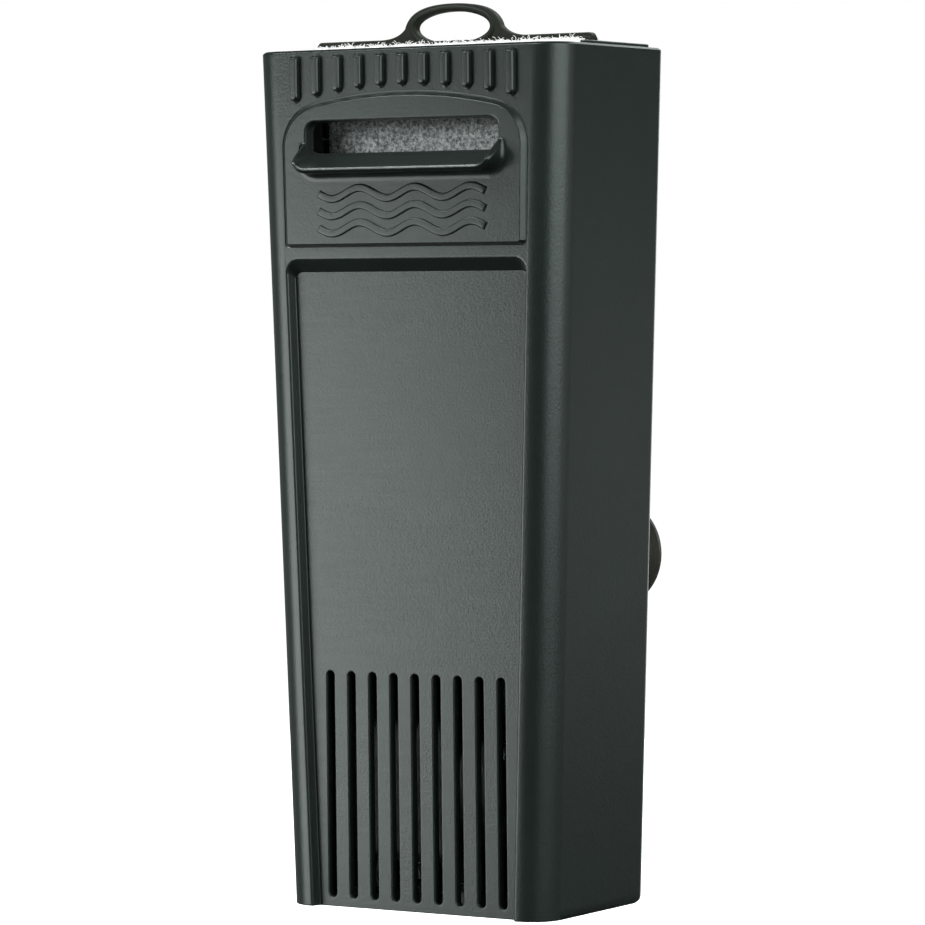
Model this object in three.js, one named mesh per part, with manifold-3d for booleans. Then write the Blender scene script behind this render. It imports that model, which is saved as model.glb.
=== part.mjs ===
// Internal power filter for an aquarium, as an assembly of separate solids.
// Units are millimetres. +Z is up, the outlet faces -Y, the suction cups face +Y, and the origin is the middle
// of the base plate's underside. Water enters through the slots low in the front, the pump in the lower chamber
// lifts it through the deck into the rear chamber, and it returns through the cartridge and over the spout.
import * as THREE from "three";
import { mergeVertices } from "three/addons/utils/BufferGeometryUtils.js";
import Module from "manifold-3d";

const wasm = await Module();
wasm.setup();

// ---- Driving dimensions ----
const HEIGHT = 200; // top rim of the case
const HALF_WIDTH = 36; // of the case at the base
const WIDTH_TAPER = 6.7; // how much each side leans out over the height
const FRONT = -22.64; // front face at the base
const FRONT_TAPER = 1.66; // how much the front leans out over the height
const BACK = 22.5;
const FRONT_RADIUS = 7.5; // upright corner radii
const BACK_RADIUS = 3;
const HEEL = 4; // rounding of the lower rear edge
const WALL = 2;
const CLEAR = 0.3; // gap between pieces that rest on each other

const RIM_BOTTOM = 0.4; // the case stops just short of the surface that the base plate stands on
const BASE_PLATE = 2;
const DECK_BOTTOM = 58;
const DECK_TOP = 60.5;

const RECESS = { depth: 2.4, top: 152, slope: 3.7, edge: 7.5, run: 1, radius: 3 };
const SLOTS = { count: 9, pitch: 5.91, width: 2, bottom: 2.4, top: 55.3 };
const PANEL = { raise: 1, bottom: 154.6, halfBottom: 32.95, half: 33.4, shoulder: 10.03, shoulderZ: 177.3,
  top: 189.7, crown: 126.4 };
const RIBS = { count: 11, pitch: 5.95, width: 2.8, raise: 1, top: 198.8, bottom: 191.1, arc: 146 };
const WINDOW = { half: 26.5, top: 183.45, radius: 2.5, floor: 172.4, fall: 0.42 };
const SPOUT = { reach: 5.5, wall: 1.2, radius: 4, earTop: 178.4, earFront: 173.6 };

const CARTRIDGE = { y: -2, half: 34.9, halfTop: 38, bottom: 60.8, top: 202, depth: 4, rail: 6, bar: 2.4, cells: 4 };
const FLANGE = { half: 38.2, depth: 2.4, above: 0.9, below: 1.5, foot: 0.3, corner: 1.2 };
const LOOP = { centre: 205.3, half: 9.85, rise: 3.67, band: 1.9, depth: 2, foot: 20 };
const PAD = { half: 28.6, thick: 2.7, bottom: 67.5 };
const GUIDE = { reach: 4.5, thick: 1.2, top: 196 };

const COVER = { half: 40.25, back: 20.2, front: 4.6, armFront: -9, arm: 1.65, bottom: 199.3, top: 200.9 };

const AXIS = { y: 2, z: 27 }; // the pump's axis runs along X
const MOTOR = { left: -30, right: 4, halfY: 13, halfZ: 17, wall: 2, radius: 3 };
const WELL = { radius: 6.9, wall: 1.2, end: -14.6 };
const MAGNET = { radius: 5.9, left: -11.9, right: 4.2, bore: 1.55 };
const SHAFT = { radius: 1.2, left: -13.5, right: 16.6 };
const BUSH = { grip: 1.2, floor: 0.6 };
const IMPELLER = { hub: 3.4, radius: 10, left: 4.6, right: 12.4, blades: 6, thick: 1.2 };
const VOLUTE = { inner: 11.6, outer: 13.6, left: 4.4, right: 14.4, floor: 1.2 };
const OUTLET = { y: 7.8, inner: 3.6, outer: 5, top: 62.4 };
const INLET = { radius: 5.4, thick: 2.4, spoke: 1.4 };

const RAIL = { web: 12, thick: 2, lip: 2.5, reach: 3.4, lipThick: 1.5, bottom: 58, top: 105.3, stop: 3 };
const BRACKET = { tongue: 11.5, neck: 8.9, half: 32, bottom: 62, height: 40, tongueThick: 1.3, plateThick: 2,
  hole: 3 };
const CUP = { x: 21.2, z: 81.5, radius: 13, depth: 5.5, neck: 2.7, knob: 4, rim: 1 };
const GLAND = { x: -20, z: 20, notch: 4.5, notchTop: 26, outer: 4, tip: 3.1, bore: 2.5 };

const ROUND = 40; // sides of a round piece
const CORNER = 6; // steps of a quarter turn

// ---- Solids and joins ----
function solid(geometry) {
  const bare = geometry.index ? geometry.toNonIndexed() : geometry.clone();
  const points = new THREE.BufferGeometry().setAttribute("position", bare.getAttribute("position"));
  const merged = mergeVertices(points, 1e-4);
  return new wasm.Manifold(
    new wasm.Mesh({
      numProp: 3,
      vertProperties: merged.attributes.position.array,
      triVerts: new Uint32Array(merged.index.array),
    }),
  );
}

function geometryOf(body) {
  const { vertProperties, triVerts, numProp, numVert } = body.getMesh();
  const positions = new Float32Array(numVert * 3);
  for (let i = 0; i < numVert; i++) positions.set(vertProperties.subarray(i * numProp, i * numProp + 3), i * 3);
  const geometry = new THREE.BufferGeometry();
  geometry.setAttribute("position", new THREE.BufferAttribute(positions, 3));
  geometry.setIndex(new THREE.BufferAttribute(triVerts, 1));
  geometry.computeVertexNormals();
  return geometry;
}

const join = (...bodies) => bodies.reduce((sum, body) => sum.add(body));
const cut = (body, ...tools) => tools.reduce((rest, tool) => rest.subtract(tool), body);

// Moves each vertex of a geometry through a function of its place.
function mapPoints(geometry, place) {
  const position = geometry.getAttribute("position");
  for (let i = 0; i < position.count; i++)
    position.setXYZ(i, ...place(position.getX(i), position.getY(i), position.getZ(i)));
  return geometry;
}

function box(x0, x1, y0, y1, z0, z1) {
  const block = new THREE.BoxGeometry(x1 - x0, y1 - y0, z1 - z0);
  return solid(block.translate((x0 + x1) / 2, (y0 + y1) / 2, (z0 + z1) / 2));
}

// A shape in X and Y, extruded up from z0 to z1.
function upright(shape, z0, z1, curveSegments = CORNER) {
  const slab = new THREE.ExtrudeGeometry(shape, { depth: z1 - z0, bevelEnabled: false, curveSegments });
  return solid(slab.translate(0, 0, z0));
}

// A turned piece about +X: the profile's points are [x along the axis, radius].
function turnedX(profile, sides = ROUND) {
  const points = profile.map(([x, r]) => new THREE.Vector2(r, x));
  return solid(new THREE.LatheGeometry(points, sides).rotateZ(-Math.PI / 2));
}

// A turned piece about +Y: the profile's points are [y along the axis, radius].
const turnedY = (profile, sides = ROUND) =>
  solid(new THREE.LatheGeometry(profile.map(([y, r]) => new THREE.Vector2(r, y)), sides));

// A turned piece about +Z, likewise.
const turnedZ = (profile, sides = ROUND) =>
  solid(
    new THREE.LatheGeometry(profile.map(([z, r]) => new THREE.Vector2(r, z)), sides).rotateX(Math.PI / 2),
  );

// The closed profile of a ring between two places on its axis.
const ring = (from, to, inner, outer) => [[from, inner], [from, outer], [to, outer], [to, inner], [from, inner]];
const rod = (from, to, radius) => [[from, 0], [from, radius], [to, radius], [to, 0]];

function roundedRectangle(x0, x1, y0, y1, frontRadius, backRadius = frontRadius) {
  const turn = Math.PI / 2;
  const shape = new THREE.Shape();
  shape.absarc(x1 - frontRadius, y0 + frontRadius, frontRadius, -turn, 0);
  shape.absarc(x1 - backRadius, y1 - backRadius, backRadius, 0, turn);
  shape.absarc(x0 + backRadius, y1 - backRadius, backRadius, turn, 2 * turn);
  shape.absarc(x0 + frontRadius, y0 + frontRadius, frontRadius, 2 * turn, 3 * turn);
  return shape;
}

// ---- The case's own planes ----
const lean = (z) => (z / HEIGHT) * WIDTH_TAPER;
const halfWidth = (z) => HALF_WIDTH + lean(z);
const frontAt = (z) => FRONT - (z / HEIGHT) * FRONT_TAPER;

// An upright block with the case's taper, set in from its outside by `inset` and from its front by `frontInset`.
function taperedBlock(inset, frontInset, z0, z1) {
  const shape = roundedRectangle(-HALF_WIDTH + inset, HALF_WIDTH - inset, FRONT + frontInset, BACK - inset,
    Math.max(FRONT_RADIUS - inset, 1), Math.max(BACK_RADIUS - inset, 1));
  const block = new THREE.ExtrudeGeometry(shape, { depth: z1 - z0, bevelEnabled: false, curveSegments: CORNER });
  mapPoints(block, (x, y, z) => {
    const level = z + z0;
    const shift = y < 0 ? (level / HEIGHT) * FRONT_TAPER : 0;
    return [x + Math.sign(x) * lean(level), y - shift, level];
  });
  return solid(block);
}

// A shape drawn on the front face in X and Z, as a solid from `out` in front of that face to `deep` behind it.
// `bend` may move a point of it: it takes x, the depth and z, and gives the new x and z.
function onFront(shape, out, deep, bend = (x, depth, z) => [x, z]) {
  const slab = new THREE.ExtrudeGeometry(shape, { depth: out + deep, bevelEnabled: false, curveSegments: CORNER });
  return solid(
    mapPoints(slab, (x, z, reach) => {
      const depth = deep - reach;
      const [bentX, bentZ] = bend(x, depth, z);
      return [bentX, frontAt(z) + depth, bentZ];
    }),
  );
}

// ---- Case ----
function recessCutter() {
  const { depth, top, slope, edge, run, radius } = RECESS;
  const topHalf = halfWidth(top) - edge;
  const shape = new THREE.Shape();
  shape.moveTo(-(halfWidth(0) - edge), -1);
  shape.lineTo(halfWidth(0) - edge, -1);
  shape.lineTo(topHalf, top - radius);
  shape.absarc(topHalf - radius, top - radius, radius, 0, Math.PI / 2);
  shape.absarc(-topHalf + radius, top - radius, radius, Math.PI / 2, Math.PI);
  return onFront(shape, 1, depth, (x, at, z) => {
    const inner = at / depth;
    return [x - Math.sign(x) * run * inner, z > 1 ? z - slope * inner : z];
  });
}

function panelShape() {
  const { bottom, halfBottom, half, shoulder, shoulderZ, top, crown } = PANEL;
  const tilt = Math.atan((half - shoulder) / (shoulderZ - top + crown)); // where shoulder and crown meet
  const quarter = Math.PI / 2;
  const shape = new THREE.Shape();
  shape.moveTo(-halfBottom, bottom);
  shape.lineTo(halfBottom, bottom);
  shape.lineTo(half, shoulderZ);
  shape.absarc(half - shoulder, shoulderZ, shoulder, 0, quarter - tilt);
  shape.absarc(0, top - crown, crown, quarter - tilt, quarter + tilt);
  shape.absarc(shoulder - half, shoulderZ, shoulder, quarter + tilt, Math.PI);
  return shape;
}

function bar(x, bottom, top, width) {
  const half = width / 2;
  const shape = new THREE.Shape();
  shape.absarc(x, bottom + half, half, Math.PI, 2 * Math.PI);
  shape.absarc(x, top - half, half, 0, Math.PI);
  return shape;
}

function ribs() {
  const { count, pitch, width, raise, top, bottom, arc } = RIBS;
  return Array.from({ length: count }, (_, i) => {
    const x = (i - (count - 1) / 2) * pitch;
    const foot = bottom - arc + Math.sqrt(arc * arc - x * x);
    return onFront(bar(x, foot, top, width), raise, WALL / 2);
  });
}

function slots() {
  const { count, pitch, width, bottom, top } = SLOTS;
  return Array.from({ length: count }, (_, i) =>
    onFront(bar((i - (count - 1) / 2) * pitch, bottom, top, width), 2, RECESS.depth + WALL + 2),
  );
}

// The tongue of the spout: a U seen from the front, cut back to a slant at its two ears.
function spoutBlank() {
  const { reach, wall, radius, earTop, earFront } = SPOUT;
  const half = WINDOW.half + wall;
  const bottom = WINDOW.floor - wall;
  const shape = new THREE.Shape();
  shape.moveTo(half, earTop);
  shape.lineTo(-half, earTop);
  shape.lineTo(-half, bottom + radius);
  shape.absarc(-half + radius, bottom + radius, radius, Math.PI, 1.5 * Math.PI);
  shape.absarc(half - radius, bottom + radius, radius, 1.5 * Math.PI, 2 * Math.PI);
  const blank = onFront(shape, PANEL.raise + reach, WALL / 2);
  const face = frontAt(earTop) - PANEL.raise;
  const slant = new THREE.Shape();
  slant.moveTo(face - reach - 1, earFront - 0.75);
  slant.lineTo(face, earTop);
  slant.lineTo(face, earTop + 2);
  slant.lineTo(face - reach - 1, earTop + 2);
  const wedge = new THREE.ExtrudeGeometry(slant, { depth: 2 * half + 2, bevelEnabled: false });
  wedge.rotateY(Math.PI / 2).rotateX(Math.PI / 2); // depth along X, the outline in Y and Z
  return cut(blank, solid(mapPoints(wedge, (x, y, z) => [x - half - 1, y, z])));
}

// The opening behind the spout, with a floor that falls towards the front.
function windowCutter() {
  const { half, top, radius, floor, fall } = WINDOW;
  const inner = SPOUT.radius - SPOUT.wall;
  const reach = PANEL.raise + SPOUT.reach;
  const shape = new THREE.Shape();
  shape.absarc(half - radius, top - radius, radius, 0, Math.PI / 2);
  shape.absarc(-half + radius, top - radius, radius, Math.PI / 2, Math.PI);
  shape.absarc(-half + inner, floor + inner, inner, Math.PI, 1.5 * Math.PI);
  shape.absarc(half - inner, floor + inner, inner, 1.5 * Math.PI, 2 * Math.PI);
  const limit = floor + 2 * inner;
  return onFront(shape, reach + 0.5, 2 * WALL, (x, depth, z) => [x, z < limit ? z + fall * (depth + reach) : z]);
}

// Upright ribs inside each side wall that hold the cartridge's edges, and two low ribs across the deck.
function guides() {
  const { reach, thick, top } = GUIDE;
  const half = CARTRIDGE.depth / 2 + CLEAR + 0.1;
  const places = [CARTRIDGE.y - half - thick, CARTRIDGE.y + half];
  const level = DECK_TOP - 1;
  return places.flatMap((y) => {
    const across = box(-30, 30, y, y + thick, level, DECK_TOP + 3.5);
    const sides = [-1, 1].map((side) => {
      const inner = halfWidth(level) - WALL - reach;
      const rib = new THREE.BoxGeometry(reach + WALL / 2, thick, top - level);
      rib.translate(side * (inner + (reach + WALL / 2) / 2), y + thick / 2, (top + level) / 2);
      return solid(mapPoints(rib, (px, py, pz) => [px + side * (lean(pz) - lean(level)), py, pz]));
    });
    return [across, ...sides];
  });
}

// Small shelves inside the rim that carry the top cover.
function coverShelves() {
  const z = COVER.bottom - CLEAR;
  const corner = (side) => {
    const edge = halfWidth(z) - WALL / 2;
    const inner = edge - 3;
    return box(Math.min(side * inner, side * edge), Math.max(side * inner, side * edge), 8, 18, z - 2, z);
  };
  return [corner(-1), corner(1), box(-10, 10, BACK - WALL - 1.5, BACK - WALL / 2, z - 2, z)];
}

// Two L rails on the back that the bracket's tongue slides up between, with a stop across their top.
function bracketRails() {
  const { web, thick, lip, reach, lipThick, bottom, top, stop } = RAIL;
  const root = BACK - WALL / 2;
  const sides = [-1, 1].map((side) => {
    const span = (a, b) => [Math.min(side * a, side * b), Math.max(side * a, side * b)];
    const upright = box(...span(web, web + thick), root, BACK + reach, bottom, top);
    return join(upright, box(...span(web - lip, web + thick / 2), BACK + reach - lipThick, BACK + reach, bottom, top));
  });
  return join(...sides, box(-web - thick, web + thick, root, BACK + reach, top - stop, top));
}

// The quarter round taken off the lower rear edge.
function heelCutter() {
  const shape = new THREE.Shape();
  shape.moveTo(BACK + 1, -1);
  shape.lineTo(BACK + 1, HEEL);
  shape.lineTo(BACK, HEEL);
  shape.absarc(BACK - HEEL, HEEL, HEEL, 0, -Math.PI / 2, true);
  shape.lineTo(BACK - HEEL, -1);
  const width = 2 * HALF_WIDTH + 4;
  const heel = new THREE.ExtrudeGeometry(shape, { depth: width, bevelEnabled: false, curveSegments: CORNER });
  heel.rotateY(Math.PI / 2).rotateX(Math.PI / 2);
  return solid(mapPoints(heel, (x, y, z) => [x - width / 2, y, z]));
}

function makeCase() {
  const shell = cut(
    taperedBlock(0, 0, RIM_BOTTOM, HEIGHT),
    taperedBlock(WALL, WALL + RECESS.depth, RIM_BOTTOM - 1, DECK_BOTTOM),
    taperedBlock(WALL, WALL + RECESS.depth, DECK_TOP, RECESS.top + 1),
    taperedBlock(WALL, WALL, RECESS.top, HEIGHT + 1),
    recessCutter(),
    heelCutter(),
  );
  const dressed = join(shell, onFront(panelShape(), PANEL.raise, WALL / 2), ...ribs(), spoutBlank(), ...guides(),
    ...coverShelves(), bracketRails());
  const { x, notch, notchTop } = GLAND;
  const cordNotch = join(
    box(x - notch, x + notch, BACK - WALL - 1, BACK + 1, -1, notchTop - notch),
    turnedY(rod(BACK - WALL - 1, BACK + 1, notch)).translate([x, 0, notchTop - notch]),
  );
  const port = turnedZ(rod(DECK_BOTTOM - 1, DECK_TOP + 1, OUTLET.outer + 2)).translate([
    portX(), AXIS.y + OUTLET.y, 0]);
  return cut(dressed, windowCutter(), ...slots(), cordNotch, port);
}

const portX = () => (VOLUTE.left + VOLUTE.right) / 2;

// ---- Top cover ----
function makeTopCover() {
  const { half, back, front, armFront, arm, bottom, top } = COVER;
  const shape = new THREE.Shape();
  shape.moveTo(-half, armFront);
  shape.lineTo(-half + arm, armFront);
  shape.lineTo(-half + arm, front);
  shape.lineTo(half - arm, front);
  shape.lineTo(half - arm, armFront);
  shape.lineTo(half, armFront);
  shape.absarc(half - 2, back - 2, 2, 0, Math.PI / 2);
  shape.absarc(-half + 2, back - 2, 2, Math.PI / 2, Math.PI);
  const tab = turnedX(rod(-9, 9, 1.1), 12).translate([0, back - 4, top - 0.3]);
  const skirt = box(-half + 6, half - 6, front + 1.2, front + 2.6, bottom - 4, bottom + 0.5);
  return join(upright(shape, bottom, top), tab, skirt);
}

// ---- Cartridge, drawn about its own mid plane ----
const cartridgeHalf = (z) =>
  CARTRIDGE.half + ((CARTRIDGE.halfTop - CARTRIDGE.half) * (z - CARTRIDGE.bottom)) / (CARTRIDGE.top - CARTRIDGE.bottom);

// A slab in X and Z whose sides follow the cartridge's taper, `inset` in from its edge.
function cartridgeSlab(inset, y0, y1, z0, z1) {
  const slab = new THREE.BoxGeometry(2, y1 - y0, z1 - z0).translate(0, (y0 + y1) / 2, (z0 + z1) / 2);
  return solid(mapPoints(slab, (x, y, z) => [x * (cartridgeHalf(z) - inset), y, z]));
}

// The heights of the openings between the frame's cross bars.
function cells() {
  const { bottom, top, rail, bar: width, cells: count } = CARTRIDGE;
  const low = bottom + rail;
  const high = top - 5;
  const tall = (high - low - (count - 1) * width) / count;
  return Array.from({ length: count }, (_, i) => {
    const from = low + i * (tall + width);
    return [from, from + tall];
  });
}

// A shape in X and Z, extruded to a thickness about the cartridge's mid plane.
function standing(shape, thick) {
  const slab = new THREE.ExtrudeGeometry(shape, { depth: thick, bevelEnabled: false, curveSegments: 10 });
  return solid(slab.translate(0, 0, -thick / 2).rotateX(Math.PI / 2));
}

function pullLoop() {
  const { centre, half, rise, band, depth, foot } = LOOP;
  const ground = CARTRIDGE.top + FLANGE.above / 2;
  const side = half + band;
  const crown = centre + rise + band;
  const shape = new THREE.Shape();
  shape.moveTo(-foot, ground);
  shape.lineTo(foot, ground);
  shape.lineTo(foot, ground + 0.4);
  shape.quadraticCurveTo(side + 3, ground + 0.6, side + 1.1, centre);
  shape.bezierCurveTo(side, centre + rise, half - 2, crown, 0, crown);
  shape.bezierCurveTo(2 - half, crown, -side, centre + rise, -side - 1.1, centre);
  shape.quadraticCurveTo(-side - 3, ground + 0.6, -foot, ground + 0.4);
  const eye = new THREE.Shape();
  eye.absellipse(0, centre, half, rise, 0, 2 * Math.PI);
  return cut(standing(shape, depth), standing(eye, depth + 2));
}

function makeCartridgeFrame() {
  const { depth, rail, bottom, top } = CARTRIDGE;
  const reach = depth / 2;
  const outer = cartridgeSlab(0, -reach, reach, bottom, top - 0.1);
  const windows = cells().map(([from, to]) => cartridgeSlab(rail, -reach - 1, reach + 1, from, to));
  const { half, above, below, foot, corner } = FLANGE;
  const flange = roundedRectangle(-half, half, top - below, top + above, foot, corner);
  return join(cut(outer, ...windows), standing(flange, FLANGE.depth), pullLoop());
}

// One of the two layers of floss that lie against the frame.
function makeFloss(side) {
  const near = CARTRIDGE.depth / 2 + CLEAR;
  const far = near + PAD.thick;
  const y = [side * near, side * far].sort((a, b) => a - b);
  return cartridgeSlab(CARTRIDGE.half - PAD.half, ...y, PAD.bottom, CARTRIDGE.top - 0.5);
}

const makeCarbon = ([from, to]) =>
  cartridgeSlab(CARTRIDGE.rail + CLEAR, -CARTRIDGE.depth / 2 + 0.2, CARTRIDGE.depth / 2 - 0.2, from + CLEAR,
    to - CLEAR);

// ---- Pump, drawn about its own axis ----
function makeMotorHousing() {
  const { left, right, halfY, halfZ, wall, radius } = MOTOR;
  const block = (x0, x1, inset) => {
    const shape = roundedRectangle(-halfZ + inset, halfZ - inset, -halfY + inset, halfY - inset, radius - inset / 2);
    const slab = new THREE.ExtrudeGeometry(shape, { depth: x1 - x0, bevelEnabled: false, curveSegments: 3 });
    return solid(slab.rotateY(Math.PI / 2).translate(x0, 0, 0));
  };
  const hollow = cut(block(left, right, 0), block(left - 1, right - wall, wall));
  const wellOuter = turnedX(rod(WELL.end - WELL.wall, right - wall / 2, WELL.radius + WELL.wall));
  const wellInner = turnedX(rod(WELL.end, right + 1, WELL.radius));
  const glandHole = turnedY(rod(halfY - wall - 1, halfY + 1, GLAND.outer - 0.6), 16).translate([
    GLAND.x, 0, GLAND.z - AXIS.z]);
  return cut(join(hollow, wellOuter), wellInner, glandHole);
}

function makeMotorCap() {
  const { left, halfY, halfZ, wall, radius } = MOTOR;
  const inset = wall + CLEAR;
  const plug = roundedRectangle(-halfZ + inset, halfZ - inset, -halfY + inset, halfY - inset, radius - 1);
  const slab = new THREE.ExtrudeGeometry(plug, { depth: 3, bevelEnabled: false, curveSegments: 3 });
  return solid(slab.rotateY(Math.PI / 2).translate(left - 1, 0, 0));
}

// The laminated core: a yoke through the coil and two poles that reach above and below the rotor well.
const CORE = { left: -24.6, yoke: 4.6, right: 1.2, halfY: 5, inner: 8.6, thick: 4.6 };

function makeStatorCore() {
  const { left, yoke, right, halfY, inner, thick } = CORE;
  const outer = inner + thick;
  return join(
    box(left, left + yoke, -halfY, halfY, -outer, outer),
    box(left, right, -halfY, halfY, inner, outer),
    box(left, right, -halfY, halfY, -outer, -inner),
  );
}

const COIL = { gap: 0.3, wall: 0.8, flange: 1, half: 8.1, left: -26.2, right: -18.1, halfY: 8.6 };

function makeCoilBobbin() {
  const { gap, wall, flange, half } = COIL;
  const x0 = CORE.left - gap;
  const x1 = CORE.left + CORE.yoke + gap;
  const y = CORE.halfY + gap;
  const tube = box(x0 - wall, x1 + wall, -y - wall, y + wall, -half, half);
  const plate = (z) => box(COIL.left - 0.6, COIL.right + 0.5, -COIL.halfY - 0.6, COIL.halfY + 0.6, z, z + flange);
  return cut(join(tube, plate(-half), plate(half - flange)), box(x0, x1, -y, y, -half - 1, half + 1));
}

function makeCoilWinding() {
  const { gap, wall, flange, half } = COIL;
  const skin = gap + wall + gap / 2;
  const z = half - flange - gap;
  const outer = upright(roundedRectangle(COIL.left, COIL.right, -COIL.halfY, COIL.halfY, 1), -z, z, 3);
  return cut(
    outer,
    box(CORE.left - skin, CORE.left + CORE.yoke + skin, -CORE.halfY - skin, CORE.halfY + skin, -half, half),
  );
}

const makeShaft = () => turnedX(rod(SHAFT.left, SHAFT.right, SHAFT.radius), 24);
const makeMagnet = () => turnedX(ring(MAGNET.left, MAGNET.right, MAGNET.bore, MAGNET.radius));

// The rubber cap on one end of the shaft: `side` is +1 at the shaft's right end and -1 at its left.
function makeBush(end, side, radius) {
  const bore = SHAFT.radius + CLEAR;
  const open = end - side * BUSH.grip;
  const floor = end + side * CLEAR;
  const closed = floor + side * BUSH.floor;
  const profile = [[closed, 0], [closed, radius], [open, radius], [open, bore], [floor, bore], [floor, 0]];
  return turnedX(side < 0 ? profile : profile.reverse(), 24);
}

function makeImpeller() {
  const { hub, radius, left, right, blades, thick } = IMPELLER;
  const core = turnedX(ring(left, right, MAGNET.bore, hub));
  const fins = Array.from({ length: blades }, (_, i) =>
    box(left + 1.4, right, -thick / 2, thick / 2, hub - 0.6, radius).rotate([(i * 360) / blades, 0, 0]),
  );
  return join(core, ...fins);
}

// The chamber round the impeller, with its outlet pipe rising from the rim.
function makeVolute() {
  const { inner, outer, left, right, floor } = VOLUTE;
  const middle = portX();
  const pipe = (radius, from, to) => turnedZ(rod(from, to, radius), 32).translate([middle, OUTLET.y, 0]);
  const top = OUTLET.top - AXIS.z;
  const body = join(turnedX(rod(left, right, outer), 56), pipe(OUTLET.outer, 0, top));
  const eye = turnedX(rod(left - 1, left + floor + 1, WELL.radius + 0.2));
  return cut(body, turnedX(rod(left + floor, right + 1, inner), 56), pipe(OUTLET.inner, 2, top + 1), eye);
}

const makeCoverSeal = () =>
  turnedX(ring(VOLUTE.right + 0.2, VOLUTE.right + 1, VOLUTE.inner + 0.3, VOLUTE.outer - 0.5), 56);

// The twist-off plate over the impeller, with the water inlet in its middle and a spider that holds the shaft.
function makeImpellerCover() {
  const x0 = VOLUTE.right + 1.2;
  const x1 = x0 + INLET.thick;
  const plate = turnedX(ring(x0, x1, INLET.radius, VOLUTE.outer), 56);
  const boss = turnedX(ring(x0, x1, 3.1, 4.1), 32);
  const arms = [0, 120, 240].map((turn) =>
    box(x0, x1, -INLET.spoke / 2, INLET.spoke / 2, 3.6, INLET.radius + 1).rotate([turn, 0, 0]),
  );
  const lugs = [0, 180].map((turn) =>
    box(x0, x1, -3, 3, VOLUTE.outer - 0.6, VOLUTE.outer + 1.8).rotate([turn + 60, 0, 0]),
  );
  return join(plate, boss, ...arms, ...lugs);
}

const makeOutletSeal = () =>
  turnedZ(ring(DECK_BOTTOM + 0.2 - AXIS.z, DECK_TOP + 0.6 - AXIS.z, OUTLET.outer + CLEAR, OUTLET.outer + 1.7), 32)
    .translate([portX(), OUTLET.y, 0]);

// A tapered strain relief in the housing's rear wall, open where the cord would go in.
function makeCordGland() {
  const { outer, tip, bore } = GLAND;
  const wallOut = MOTOR.halfY;
  const profile = [[wallOut - 3.2, 0], [wallOut - 3.2, outer - 1], [wallOut + 0.3, outer - 1], [wallOut + 0.3, outer],
    [wallOut + 1.8, outer], [wallOut + 7.4, tip], [wallOut + 7.4, bore], [wallOut - 1, bore], [wallOut - 1, 0]];
  return turnedY(profile, 32).translate([GLAND.x, 0, GLAND.z - AXIS.z]);
}

// ---- Base ----
// The plate that closes the lower chamber, with a low wall that locates it, four cups for the pump's feet and
// two spring tabs that hold the case.
const FEET = [[-24, -9], [-24, 9], [-4, -9], [-4, 9]];

function makeBasePlate() {
  const inset = WALL + CLEAR;
  const plate = taperedBlock(inset, inset + RECESS.depth, 0, BASE_PLATE);
  const heelCut = box(-HALF_WIDTH, HALF_WIDTH, BACK - HEEL, BACK, -1, BASE_PLATE + 1);
  const cups = FEET.map(([x, y]) => turnedZ(ring(BASE_PLATE - 0.5, BASE_PLATE + 1.6, 4.3, 5.3), 16).translate([
    x, y + AXIS.y, 0]));
  const tabs = [-1, 1].map((side) => {
    const edge = HALF_WIDTH - inset - 0.3;
    const wide = [side * edge, side * (edge - 1.6)].sort((a, b) => a - b);
    return box(...wide, -6, 6, BASE_PLATE - 0.5, 14);
  });
  return join(cut(plate, heelCut), ...cups, ...tabs);
}

function makeFoot([x, y]) {
  const floor = BASE_PLATE + CLEAR;
  const head = AXIS.z - MOTOR.halfZ - CLEAR;
  const middle = (floor + head) / 2;
  const profile = [[floor, 0], [floor, 3.9], [middle, 3.1], [head, 3.9], [head, 0]];
  return turnedZ(profile, 32).translate([x, y + AXIS.y, 0]);
}

// ---- Bracket and suction cups ----
const tongueBack = BACK + CLEAR + BRACKET.tongueThick;
const plateFront = BACK + RAIL.reach + CLEAR;
const plateBack = plateFront + BRACKET.plateThick;

function makeBracket() {
  const { tongue, neck, half, bottom, height, hole } = BRACKET;
  const tongueSlab = box(-tongue, tongue, BACK + CLEAR, tongueBack, bottom, bottom + height);
  const neckSlab = box(-neck, neck, tongueBack - 0.5, plateFront + 0.5, bottom, bottom + height);
  const rear = new THREE.ExtrudeGeometry(
    roundedRectangle(-half, half, bottom + 4, bottom + height - 6, 8), {
      depth: BRACKET.plateThick, bevelEnabled: false, curveSegments: CORNER });
  const plate = solid(rear.rotateX(Math.PI / 2).translate(0, plateBack, 0));
  const holes = [-1, 1].map((side) =>
    turnedY(rod(plateFront - 1, plateBack + 1, hole), 16).translate([side * CUP.x, 0, CUP.z]),
  );
  return cut(join(tongueSlab, neckSlab, plate), ...holes);
}

// One suction cup: a knob and neck through the bracket's hole, and a dished disc with a flat sealing rim.
function makeCup(side) {
  const { radius, depth, neck, knob, rim } = CUP;
  const root = plateBack + CLEAR;
  const tip = root + depth;
  const knobBack = plateFront - CLEAR;
  const profile = [[knobBack - 2.6, 0], [knobBack - 2.6, 2.2], [knobBack - 1.2, knob], [knobBack, knob],
    [knobBack, neck], [root, neck], [root, 4.6], [root + 1.4, 5.6], [tip - 2, radius - 2.6], [tip - 0.8, radius],
    [tip, radius], [tip, radius - rim], [tip - 1.3, radius - 3.6], [root + 2.4, 4], [root + 2.2, 0]];
  return turnedY(profile).translate([side * CUP.x, 0, CUP.z]);
}

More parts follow.
